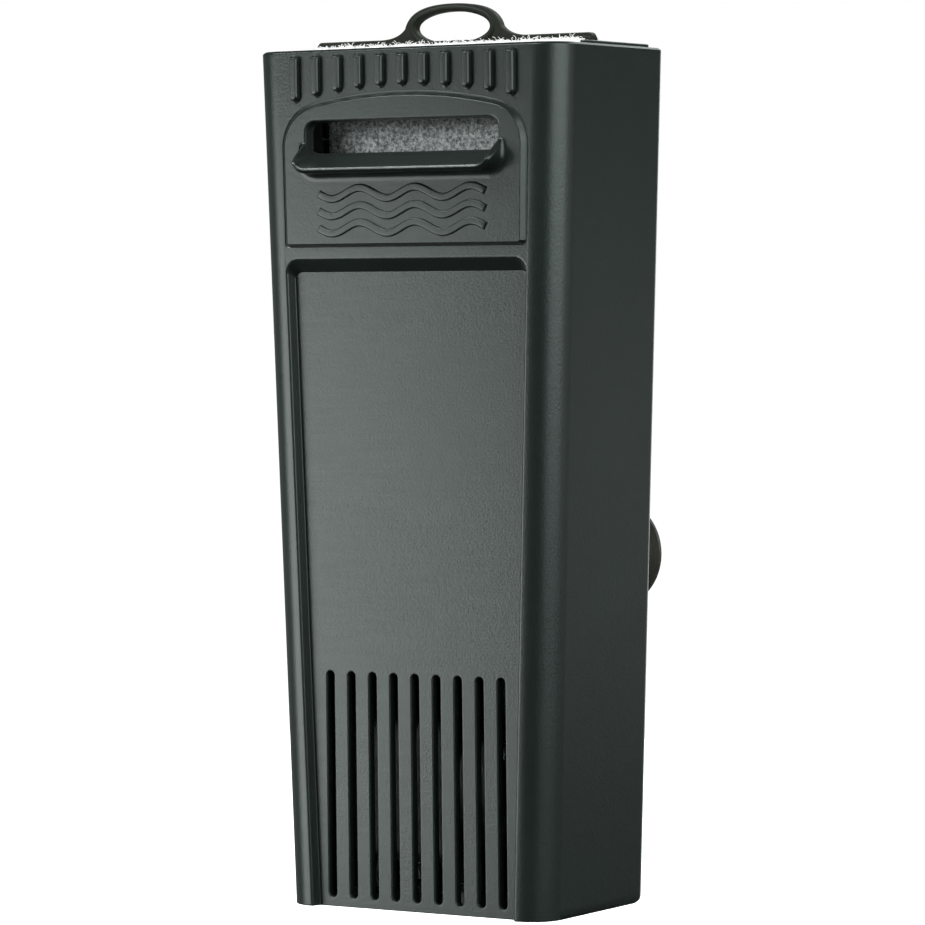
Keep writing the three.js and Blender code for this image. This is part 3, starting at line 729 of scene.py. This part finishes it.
def add_recess(skin):
    """The recessed lower panel's rounded edge. Returns its rings, from the front face inward."""
    foot = BOTTOM + SEAM
    outer = recess_outline(0, 0, 3.5, foot)
    inner = recess_outline(RECESS_RUN, RECESS_SLOPE, 1.8, foot)
    side = step_profile(RECESS_DEPTH, 0.6, 0.35, 75)
    top = step_profile(RECESS_DEPTH, 1.2, 0.4, 37)
    rings = []
    for (side_run, side_depth), (top_run, top_depth) in zip(side, top):
        points = []
        for (x0, z0), (x1, z1) in zip(outer, inner):
            upper = max(0, min(1, (z0 - RECESS_TOP + 3.5) / 3.5))
            run = mix(side_run / side[-1][0], top_run / top[-1][0], upper)
            depth = mix(side_depth, top_depth, upper)
            z = mix(z0, z1, run)
            points.append((mix(x0, x1, run), front_at(z) + depth, z))
        rings.append(skin.ring(points))
    skin.loft(rings, closed=False)
    return rings


def add_panel(skin):
    """The arched panel's moulded edge. Returns its outlines on the front and on the panel."""
    profile = [(-0.55, 0), (-0.45, 0), (-0.35, -0.1), (-0.12, -0.14)]
    steps = [(panel_outline(inset, inset), height) for inset, height in profile]
    for inset, height in step_profile(PANEL_RAISE, 0.12, 0.3, 48):
        steps.append((panel_outline(inset, 0.4 * inset), height))
    rings = add_moulding(skin, steps)
    return rings[0], rings[-1]


def add_front(skin, outer, recess):
    """The front face and all that is moulded on it. Returns its openings' outlines on the inner wall."""
    panel_foot, panel_top = add_panel(skin)
    spout, window = add_spout(skin)
    slot_faces, slot_backs = add_slots(skin)
    front = recess[0] + [ring[0] for ring in outer] + [ring[-1] for ring in outer[::-1]]
    skin.fill([front, panel_foot, *add_ribs(skin)])
    skin.fill([recess[-1], *slot_faces])
    skin.fill([panel_top, spout, *add_waves(skin)])
    return window, slot_backs


def add_rim(skin, top):
    """The rim, from the outer wall's top ring inward. Returns its ring on the inner wall."""
    rings = [top]
    for inset, drop in RIM_PROFILE:
        level = HEIGHT - drop
        rings.append(skin.ring([(x, y, level) for x, y, _ in wrap(level, inset)]))
    skin.loft(rings)
    return rings[-1]


def add_upper_chamber(skin, rim, window):
    """The inner walls and the deck. Returns the lower edge of the deck's outlet hole."""
    ledge = skin.ring(wrap(RECESS_TOP, WALL))
    skin.bridge(rim, ledge, closed=False)
    skin.fill([[rim[0], rim[-1], ledge[-1], ledge[0]], window])
    shelf = skin.ring(wrap(RECESS_TOP - 1, WALL, RECESS_DEPTH))
    deck = skin.ring(wrap(DECK_TOP, WALL, RECESS_DEPTH))
    skin.loft([ledge, shelf, deck])
    hole = arc(OUTLET_X, OUTLET_Y, OUTLET_RADIUS, 0, 352.5, 47)
    upper, lower = (skin.ring([(x, y, z) for x, y in hole]) for z in (DECK_TOP, DECK_BOTTOM))
    skin.bridge(upper, lower)
    skin.fill([deck, upper], 1)
    return lower


def add_lower_chamber(skin, rows, hole, slot_backs):
    """The deck's underside and the walls below it. Returns their lowest ring."""
    rings = []
    for z in [DECK_BOTTOM, *rows[-2::-1], BOTTOM]:
        rings.append(skin.ring(wrap(z, WALL, RECESS_DEPTH, 0.3)))
    skin.fill([rings[0], hole], 1)
    skin.loft(rings, closed=False)
    front = [ring[0] for ring in rings] + [ring[-1] for ring in rings[::-1]]
    skin.fill([front, *slot_backs])
    return rings[-1]


def add_bottom_edge(skin, start, recess, inner):
    """The rounded lower edge, from the outer wall and the recess to the lower chamber's lowest ring."""
    rings = [start + [ring[0] for ring in recess] + [ring[-1] for ring in recess[::-1]]]
    level = BOTTOM + SEAM
    base = [skin.points[i][:2] for i in rings[0]]
    for inset, drop in ((0.3 * SEAM, 0.7 * SEAM), (SEAM, SEAM)):
        around = [(x, y) for x, y, _ in wrap(level, inset, 0, inset)]
        across = offset(base, -inset)[len(around):]
        rings.append(skin.ring([(x, y, level - drop) for x, y in around + across]))
    skin.loft(rings)
    skin.fill([rings[-1], inner], 1)


def cord_notch():
    """The cutter for the round-topped notch in the rear wall, where the mains cord comes out."""
    notch = Surface()
    outline = [(NOTCH_X - NOTCH_HALF, -1), (NOTCH_X + NOTCH_HALF, -1)]
    outline += arc(NOTCH_X, NOTCH_SPRING, NOTCH_HALF, 0, 180, 24)
    rings = [notch.ring([(x, y, z) for x, z in outline]) for y in (BACK - WALL - 1.5, BACK + 1)]
    notch.loft(rings)
    for end in rings:
        notch.fill([end])
    return notch.build("notch_cutter", None, None)


def make_case(material):
    """The moulded case: one closed shell of outer walls, front, rim, two chambers and lower edge."""
    skin = Surface()
    rows = [BOTTOM + SEAM, 0.4, 0.7, 1.1, 1.8, 2.4, 3.1, HEEL, HEIGHT - 0.9]
    outer = [skin.ring(wrap(z)) for z in rows]
    skin.loft(outer, closed=False)
    recess = add_recess(skin)
    window, slot_backs = add_front(skin, outer, recess)
    rim = add_rim(skin, outer[-1])
    hole = add_upper_chamber(skin, rim, window)
    inner = add_lower_chamber(skin, rows, hole, slot_backs)
    add_bottom_edge(skin, outer[0], recess, inner)
    shell = skin.build("case_shell", None, None)
    carve(shell, cord_notch())
    finish(shell, "housing", material, ["case"])


def make_fittings(material):
    """Guides for the cartridge's edges, shelves under the top cover, and the bracket's rails behind."""
    parts = Surface()
    level = DECK_TOP - 0.8
    inner = half_width(level) - WALL
    for y in (GUIDE_FRONT, GUIDE_REAR):
        parts.block((-30, 30), (y, y + GUIDE_THICK), (level, DECK_TOP + 3.5))
        for side in (-1, 1):
            reach = sorted((side * (inner - GUIDE_REACH), side * (inner + 0.8)))
            parts.block(reach, (y, y + GUIDE_THICK), (level, GUIDE_TOP), lean=side)
    shelf = (COVER_BOTTOM - 2.3, COVER_BOTTOM - 0.3)
    edge = half_width(COVER_BOTTOM) - WALL / 2
    root = BACK - WALL / 2
    for side in (-1, 1):
        parts.block(sorted((side * (edge - 3), side * edge)), (8, 18), shelf)
    parts.block((-10, 10), (root - 2.5, root), shelf)
    rear = BACK + RAIL_REACH
    for side in (-1, 1):
        web = sorted((side * RAIL_WEB, side * (RAIL_WEB + RAIL_THICK)))
        lip = sorted((side * (RAIL_WEB - RAIL_LIP), side * (RAIL_WEB + RAIL_THICK / 2)))
        parts.block(web, (root, rear - 0.1), (RAIL_BOTTOM, RAIL_TOP - 0.1), 0.4)
        parts.block(lip, (rear - RAIL_LIP_THICK, rear), (RAIL_BOTTOM + 0.1, RAIL_TOP - 0.2), 0.4)
    across = RAIL_WEB + RAIL_THICK - 0.2
    parts.block((-across, across), (root, rear - 0.2), (RAIL_TOP - RAIL_STOP, RAIL_TOP), 0.4)
    parts.build("case_fittings", "housing", material)


# ---- Top cover ----
def make_cover(material):
    """A flat plate with two arms forward along the side walls, a skirt under it and a grip along its rear."""
    plate = Surface()
    corner, elbow = 2, 1.2
    side = COVER_HALF - COVER_ARM
    right = arc(side - elbow, COVER_FRONT - elbow, elbow, 90, 0, 5)
    right += [(side, COVER_ARM_FRONT), (COVER_HALF, COVER_ARM_FRONT)]
    right += arc(COVER_HALF - corner, COVER_BACK - corner, corner, 0, 90, 6)
    plate.slab([mirrored(right)], COVER_BOTTOM, COVER_TOP, 0.35, in_xy, 1)
    ridge = rectangle((-COVER_HALF + 6, COVER_HALF - 6), (COVER_FRONT + 3.5, COVER_BACK - 7), 2)
    plate.slab([ridge, offset(ridge, -1)], COVER_TOP - 0.2, COVER_TOP + 0.3, 0.2, in_xy, 1)
    plate.block((-COVER_HALF + 6, COVER_HALF - 6), (COVER_FRONT + 1.2, COVER_FRONT + 2.6),
                (COVER_BOTTOM - 4, COVER_BOTTOM + 0.5))
    grip = rounded([(-9, 0), (-9, 1.1), (9, 1.1), (9, 0)], 0.5)
    plate.lathe(grip, "X", (0, COVER_BACK - 4, COVER_TOP - 0.3), 32)
    plate.build("cover_plate", "lid", material, ["top_cover"])


# ---- Cartridge ----
def cartridge_half(z):
    """Half the cartridge's width at a height."""
    return 34.9 + 3.1 * (z - CARTRIDGE_BOTTOM) / (CARTRIDGE_TOP - CARTRIDGE_BOTTOM)


def flange_outline():
    """The cartridge's top flange, its turned-down ends and the pull loop growing out of it, anticlockwise."""
    low, under, high = 200.5, 201.8, 202.9
    half, wall, corner = 38.2, 1, 1.2
    inner = half - wall
    side = LOOP_HALF + LOOP_BAND
    crown = LOOP_CENTRE + LOOP_RISE + LOOP_BAND
    right = [(13, 200.8), (13, under), (inner - 0.6, under), (inner, under - 0.6), (inner, low), (half, low)]
    right += arc(half - corner, high - corner, corner, 0, 90, 6)
    right.append((20, high))
    right += bezier([right[-1], (side + 3, high + 0.15), (side + 1.1, LOOP_CENTRE)], 10)
    right += bezier([right[-1], (side, LOOP_CENTRE + LOOP_RISE), (LOOP_HALF - 2, crown), (0, crown)], 18)
    return right + [(-x, z) for x, z in right[-2::-1]]


def tapered(low, high, inset, radius):
    """The cartridge's outline between two heights, set in from its sides, with round corners."""
    bottom, top = cartridge_half(low) - inset, cartridge_half(high) - inset
    points = [(-top, high), (-bottom, low), (bottom, low), (top, high)]
    return rounded(points + points[:2], radius, 4)[1:-1]


def cell_outlines():
    """The frame's openings, between its rails and its cross bars."""
    low, high, bar, count, rail = 66.8, 197, 2.4, 4, 6
    tall = (high - low - (count - 1) * bar) / count
    bottoms = [low + i * (tall + bar) for i in range(count)]
    return [tapered(bottom, bottom + tall, rail, 1.5) for bottom in bottoms]


def make_cartridge(material):
    """The cartridge's frame, its flange with the pull loop, and the thicker bead round the loop's eye."""
    grid = Surface()
    place = in_xz(CARTRIDGE_Y)
    turns = [2 * math.pi * i / 56 for i in range(56)]
    eye = [(LOOP_HALF * math.cos(t), LOOP_CENTRE + LOOP_RISE * math.sin(t)) for t in turns]
    grid.slab([flange_outline(), eye], -1.1, 1.1, 0.28, place, steps=4)
    grid.slab([offset(eye, 1.6), offset(eye, 0.3)], -1.4, 1.4, 0.55, place, steps=4)
    outer = tapered(CARTRIDGE_BOTTOM, CARTRIDGE_TOP + 0.2, 0, 1)
    grid.slab([outer, *cell_outlines()], -2, 2, 0.4, place)
    grid.build("cartridge_grid", "media_cartridge", material, ["cartridge_frame"])


# ---- Floss ----
def lumps(x, y, z):
    """How far the floss stands out at a place, from about -1 to 1: loose folds with finer tufts on them."""
    broad = fractal(Vector((x * 0.10, y * 0.3, z * 0.07)), 1, 2, 3)
    fine = fractal(Vector((x * 0.55, y, z * 0.5)) + Vector((7, 3, 5)), 0.8, 2, 3)
    return 0.7 * broad + 0.5 * fine


def add_fibre(skin, start, heading, length, bend, radius):
    """A loose curly fibre: a thin three-sided tube with closed ends."""
    steps = 5
    rings = []
    place = Vector(start)
    for i in range(steps + 1):
        heading = (heading + bend * (i / steps)).normalized()
        across = heading.orthogonal().normalized()
        up = heading.cross(across)
        thin = radius * (0.25 if i in (0, steps) else 1)
        corners = [across * math.cos(t) + up * math.sin(t) for t in (0, 2.094, 4.189)]
        rings.append(skin.ring([place + corner * thin for corner in corners]))
        place = place + heading * (length / steps)
    skin.loft(rings)
    skin.faces.append(tuple(rings[0][::-1]))
    skin.faces.append(tuple(rings[-1]))


def add_floss_body(pad, side, near):
    """The soft layer itself: rounded edges, an uneven face, and a wider band above the guides."""
    columns, rows = 72, 150
    tall = FLOSS_TOP - FLOSS_BOTTOM
    rings = []
    for j in range(rows + 1):
        z = mix(FLOSS_BOTTOM, FLOSS_TOP, j / rows)
        flare = max(0, min(1, (z - 197.5) / 2.5))
        half = cartridge_half(z) - 3.8 + 2.9 * flare * flare * (3 - 2 * flare)
        end = min(j, rows - j) / rows * tall
        front, back = [], []
        for i in range(columns + 1):
            x = mix(-half, half, i / columns)
            edge = min(end, half - abs(x))
            full = math.sqrt(1 - (1 - min(1, edge / 1.3)) ** 2)
            swell = 0.72 + 0.28 * min(1, edge / 7)
            reach = PAD_THICK * mix(0.35, 1, full) * swell + 0.22 * lumps(x, 11 * side, z) * full
            front.append((x, near + side * min(reach, PAD_THICK), z))
            back.append((x, near + side * 0.15 * (1 - full), z))
        rings.append(pad.ring(front + back[::-1]))
    pad.loft(rings)
    for ring in (rings[0], rings[-1]):
        for i in range(columns):
            pad.faces.append((ring[i], ring[i + 1], ring[-2 - i], ring[-1 - i]))


def make_floss(name, side, material, count, seed):
    """One layer of floss with loose fibres on its face and along its top edge."""
    pad = Surface()
    near = CARTRIDGE_Y + side * 2.3
    add_floss_body(pad, side, near)
    draw = random.Random(seed)
    for _ in range(count):
        z = mix(FLOSS_BOTTOM + 2, FLOSS_TOP - 1, draw.random())
        x = draw.uniform(-1, 1) * (cartridge_half(z) - 5)
        heading = Vector((draw.uniform(-1, 1), side * draw.uniform(0, 0.5), draw.uniform(-1, 1)))
        bend = Vector((draw.uniform(-1, 1), -side * draw.uniform(0.2, 0.7), draw.uniform(-1, 1)))
        start = (x, near + side * (PAD_THICK - 0.35), z)
        add_fibre(pad, start, heading, draw.uniform(1.2, 3.2), bend, 0.06)
    for _ in range(count):
        x = draw.uniform(-1, 1) * 36.8
        heading = Vector((draw.uniform(-1, 1), side * draw.uniform(-0.2, 0.5), draw.uniform(0.1, 0.5)))
        bend = Vector((draw.uniform(-1, 1), 0, draw.uniform(-1.2, -0.3)))
        start = (x, near + side * draw.uniform(0.3, 1.9), FLOSS_TOP - 0.25)
        add_fibre(pad, start, heading, draw.uniform(0.8, 2), bend, 0.08)
    piece = pad.build(name + "_pad", "media_cartridge", material, [name], 70)


# ---- Bracket and suction cups ----
def make_bracket(material):
    """The rear plate that carries the cups, and the neck and tongue that slide between the case's rails."""
    holder = Surface()
    half, low, high, rim = 32, 66, 96, 2.5
    outline = rectangle((-half, half), (low, high), 8, 10)
    holes = [arc(side * CUP_X, CUP_Z, 3, 0, 351, 39) for side in (-1, 1)]
    holder.slab([outline, *holes], 26.2, 28.2, 0.45, in_xz(0))
    ridge = rectangle((rim - half, half - rim), (low + rim, high - rim), 5.5, 8)
    holder.slab([ridge, offset(ridge, -1.2)], 28.0, 28.6, 0.25, in_xz(0))
    holder.block((-11.5, 11.5), (22.8, 24.1), (low - 4, high + 6), 0.3)
    holder.block((-8.9, 8.9), (23.6, 26.7), (low - 4, high + 6), 0.5)
    holder.build("bracket_plate", "holder", material, ["bracket"])


def make_cup(name, side, material):
    """A suction cup: its knob is through the bracket's hole, and its dished lip thins to the rim."""
    cup = Surface()
    knob = [(23.3, 0), (23.3, 2.2), (24.7, 4), (25.9, 4), (25.9, 2.7), (28.5, 2.7)]
    outside = [(28.5, 4.6), (29.9, 5.6), (31.9, 10.2), (33.3, 12.95), (34, 13)]
    inside = [(34, 12.1), (32.6, 9.2), (30.9, 4), (30.7, 0)]
    cup.lathe(rounded(knob + outside + inside, 0.7, 4), "Y", (side * CUP_X, 0, CUP_Z), 96)
    cup.build(name + "_rubber", "holder", material, [name])


# ---- Pieces that keep their CAD shape ----
def smooth_by_angle(limit):
    """A modifier's node group that shades smooth but for edges sharper than an angle in degrees."""
    group = bpy.data.node_groups.new("smooth_by_angle", "GeometryNodeTree")
    for way in ("INPUT", "OUTPUT"):
        group.interface.new_socket("Geometry", in_out=way, socket_type="NodeSocketGeometry")
    came = add_node(group, "NodeGroupInput")[0]
    smooth = add_node(group, "GeometryNodeSetShadeSmooth", {"Geometry": came})["Geometry"]
    angle = add_node(group, "GeometryNodeInputMeshEdgeAngle")["Unsigned Angle"]
    sharper = add_node(group, "ShaderNodeMath", {0: angle, 1: math.radians(limit)}, operation="GREATER_THAN")
    inputs = {"Geometry": smooth, "Selection": sharper["Value"], "Shade Smooth": False}
    shown = add_node(group, "GeometryNodeSetShadeSmooth", inputs, domain="EDGE")["Geometry"]
    add_node(group, "NodeGroupOutput", {0: shown})
    return group


def dress(material, bevel, *names):
    """Gives CAD nodes their material, and softens their edges with modifiers over the mesh they came with."""
    for name in names:
        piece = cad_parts[name]
        piece.data.materials.clear()
        piece.data.materials.append(material)
        piece.modifiers.new("weld", "WELD").merge_threshold = 1e-6
        flat = piece.modifiers.new("flat", "DECIMATE")
        flat.decimate_type = "DISSOLVE"
        flat.angle_limit = math.radians(1)
        edge = piece.modifiers.new("edge", "BEVEL")
        edge.width = bevel * MM
        edge.segments = 2
        edge.limit_method = "ANGLE"
        edge.angle_limit = math.radians(35)
        piece.modifiers.new("smooth", "NODES").node_group = SMOOTHING
        piece.modifiers.new("normals", "WEIGHTED_NORMAL").keep_sharp = True


# ---- Studio ----
def direction(azimuth, elevation):
    """The way from the object, in radians. Azimuth 0 is straight in front, and 90 degrees is to the right."""
    level = math.cos(elevation)
    return Vector((math.sin(azimuth) * level, -math.cos(azimuth) * level, math.sin(elevation)))


def make_camera():
    """A long lens to the right of the front, a little above the middle of the object."""
    azimuth, elevation, roll = (math.radians(angle) for angle in (32.87, 2.22, -0.36))
    distance = 1.12847
    back = direction(azimuth, elevation)
    right = Vector((math.cos(azimuth), math.sin(azimuth), 0))
    turned = right * math.cos(roll) + back.cross(right) * math.sin(roll)
    up = back.cross(turned)
    data = bpy.data.cameras.new("camera")
    data.sensor_width = 36
    data.lens = 186.93
    data.shift_x = -0.0072
    data.shift_y = 0.0165
    data.clip_end = 50
    camera = bpy.data.objects.new("camera", data)
    camera.matrix_world = Matrix((turned, up, back)).transposed().to_4x4()
    camera.location = Vector((0, 0.003, 0.1)) + back * distance
    bpy.context.scene.collection.objects.link(camera)
    bpy.context.scene.camera = camera


def softbox(name, azimuth, elevation, distance, width, height, power, roll=0, tint=(0.91, 1, 0.96)):
    """A soft light that faces the object from an azimuth and an elevation in degrees, at a distance."""
    data = bpy.data.lights.new(name, "AREA")
    data.shape = "RECTANGLE"
    data.size = width
    data.size_y = height
    data.energy = power
    data.color = tint
    away = direction(math.radians(azimuth), math.radians(elevation))
    light = bpy.data.objects.new(name, data)
    light.location = Vector((0, 0, 0.1)) + away * distance
    facing = away.to_track_quat("Z", "Y").to_matrix() @ Matrix.Rotation(math.radians(roll), 3, "Z")
    light.rotation_euler = facing.to_euler()
    light.visible_camera = False
    bpy.context.scene.collection.objects.link(light)


def link_light(name, pieces, state):
    """Makes a light fall on the named pieces only (INCLUDE), or on all but them (EXCLUDE)."""
    group = bpy.data.collections.new(name + "_pieces")
    bpy.data.objects[name].light_linking.receiver_collection = group
    for piece in pieces:
        group.objects.link(bpy.data.objects[piece])
    for member in group.collection_objects:
        member.light_linking.link_state = state


def make_world():
    """A white background that only the camera sees, and a dim room round it that is darker below."""
    world = bpy.data.worlds.new("studio")
    world.use_nodes = True
    tree = world.node_tree
    place = add_node(tree, "ShaderNodeTexCoord")["Generated"]
    height = add_node(tree, "ShaderNodeSeparateXYZ", {"Vector": place})["Z"]
    room = tree.nodes["Background"]
    glow = shares(tree, height, -0.4, 0.5, 0.015, 0.05)
    feed(tree, room, {"Color": (0.95, 1.0, 0.97, 1), "Strength": glow})
    white = add_node(tree, "ShaderNodeBackground", {"Color": (1, 1, 1, 1)})["Background"]
    seen = add_node(tree, "ShaderNodeLightPath")["Is Camera Ray"]
    both = add_node(tree, "ShaderNodeMixShader", {"Fac": seen, 1: room.outputs["Background"], 2: white})
    feed(tree, tree.nodes["World Output"], {"Surface": both["Shader"]})
    bpy.context.scene.world = world
    bpy.context.scene.view_settings.view_transform = "Standard"


def make_lights():
    """Softboxes round the object. The floss has a light of its own, so that it isn't bleached."""
    softbox("key", -44.5, -5.7, 0.45, 0.25, 0.29, 1.27, roll=5)  # mirrored in the front
    softbox("corner", 73, 13.5, 1.0, 0.95, 0.55, 6.3, tint=(0.85, 1, 0.98))  # the streak on the round corner
    softbox("wide", 80, 8, 1.0, 2.2, 0.5, 1.8)
    softbox("window", -5, 12, 0.8, 0.45, 0.2, 2.4, tint=(0.95, 1, 1))
    softbox("side", 132, -4.5, 1.0, 1.5, 0.22, 0.45)
    softbox("left", -115, -5, 1.0, 1.2, 0.5, 0.4)
    softbox("rear_top", 147, 45, 1.4, 1.0, 0.3, 7)
    softbox("back", 196, 8, 1.2, 1.1, 1.4, 9)
    softbox("corner_top", 72, 42, 1.2, 0.5, 0.25, 2.5)
    softbox("front_top", -33, 46, 1.2, 0.8, 0.14, 14)
    floss = ("floss_front_pad", "floss_rear_pad")
    for name in ("key", "corner", "wide", "front_top"):
        link_light(name, floss, "EXCLUDE")
    link_light("window", floss, "INCLUDE")


def make_floor():
    """A pale floor that glows just enough to be as white as the background."""
    material, tree, shader, _ = new_material("pale_floor")
    feed(tree, shader, {"Base Color": (0.9, 0.9, 0.9, 1), "Roughness": 0.9, "Emission Color": (1, 1, 1, 1),
                        "Emission Strength": 1})
    reach = 20
    corners = [(x * reach, y * reach, 0) for x, y in ((-1, -1), (1, -1), (1, 1), (-1, 1))]
    mesh = bpy.data.meshes.new("floor")
    mesh.from_pydata(corners, [], [(0, 1, 2, 3)])
    mesh.materials.append(material)
    floor = bpy.data.objects.new("floor", mesh)
    floor.location.z = -FLOOR_DROP
    floor.visible_glossy = False
    floor.visible_diffuse = False
    floor.visible_shadow = False
    bpy.context.scene.collection.objects.link(floor)


CASE_PLASTIC = moulded_plastic("case_plastic", (0.011, 0.015, 0.0135), 0.33)
INNER_PLASTIC = moulded_plastic("inner_plastic", (0.0135, 0.0135, 0.0095), 0.55, specular=0.24)
PUMP_PLASTIC = moulded_plastic("pump_plastic", (0.045, 0.052, 0.055), 0.4)
IVORY_PLASTIC = moulded_plastic("ivory_plastic", (0.72, 0.67, 0.55), 0.45)
CERAMIC = moulded_plastic("shaft_ceramic", (0.82, 0.80, 0.74), 0.16, 0.000004)
FERRITE = moulded_plastic("ferrite", (0.035, 0.035, 0.037), 0.5, 0.00006)
SEAL_RUBBER = rubber("seal_rubber", (0.016, 0.016, 0.015), 0.6)
CUP_RUBBER = rubber("cup_rubber", (0.037, 0.033, 0.028), 0.42)
FLOSS = fibrous("floss")
CARBON = granular("carbon")
CORE_STEEL = striped("core_steel", 314, 0.00006, ((0.10, 0.10, 0.10), (0.42, 0.42, 0.43)), 0.4, "Y")
COPPER = striped("copper", 780, 0.00008, ((0.30, 0.09, 0.03), (0.80, 0.32, 0.13)), 0.28)
SMOOTHING = smooth_by_angle(32)

make_camera()
make_floor()
make_case(CASE_PLASTIC)
make_fittings(CASE_PLASTIC)
make_cover(CASE_PLASTIC)
make_cartridge(INNER_PLASTIC)
make_floss("floss_front", -1, FLOSS, 900, 3)
make_floss("floss_rear", 1, FLOSS, 400, 8)
make_bracket(CASE_PLASTIC)
make_cup("suction_cup_left", -1, CUP_RUBBER)
make_cup("suction_cup_right", 1, CUP_RUBBER)
dress(CASE_PLASTIC, 0.25, "base_plate")
dress(PUMP_PLASTIC, 0.3, "motor_housing", "volute", "impeller_cover")
dress(INNER_PLASTIC, 0.3, "motor_cap")
dress(IVORY_PLASTIC, 0.15, "coil_bobbin", "impeller")
dress(CORE_STEEL, 0.1, "stator_core")
dress(COPPER, 0.3, "coil_winding")
dress(CERAMIC, 0.12, "rotor_shaft")
dress(FERRITE, 0.25, "rotor_magnet")
dress(CARBON, 0.4, *(f"carbon_cell_{i}" for i in range(1, 5)))
dress(SEAL_RUBBER, 0.2, "shaft_bush_inner", "shaft_bush_outer", "impeller_cover_seal", "outlet_seal",
      "cord_gland", *(f"rubber_foot_{i}" for i in range(1, 5)))

make_world()
make_lights()
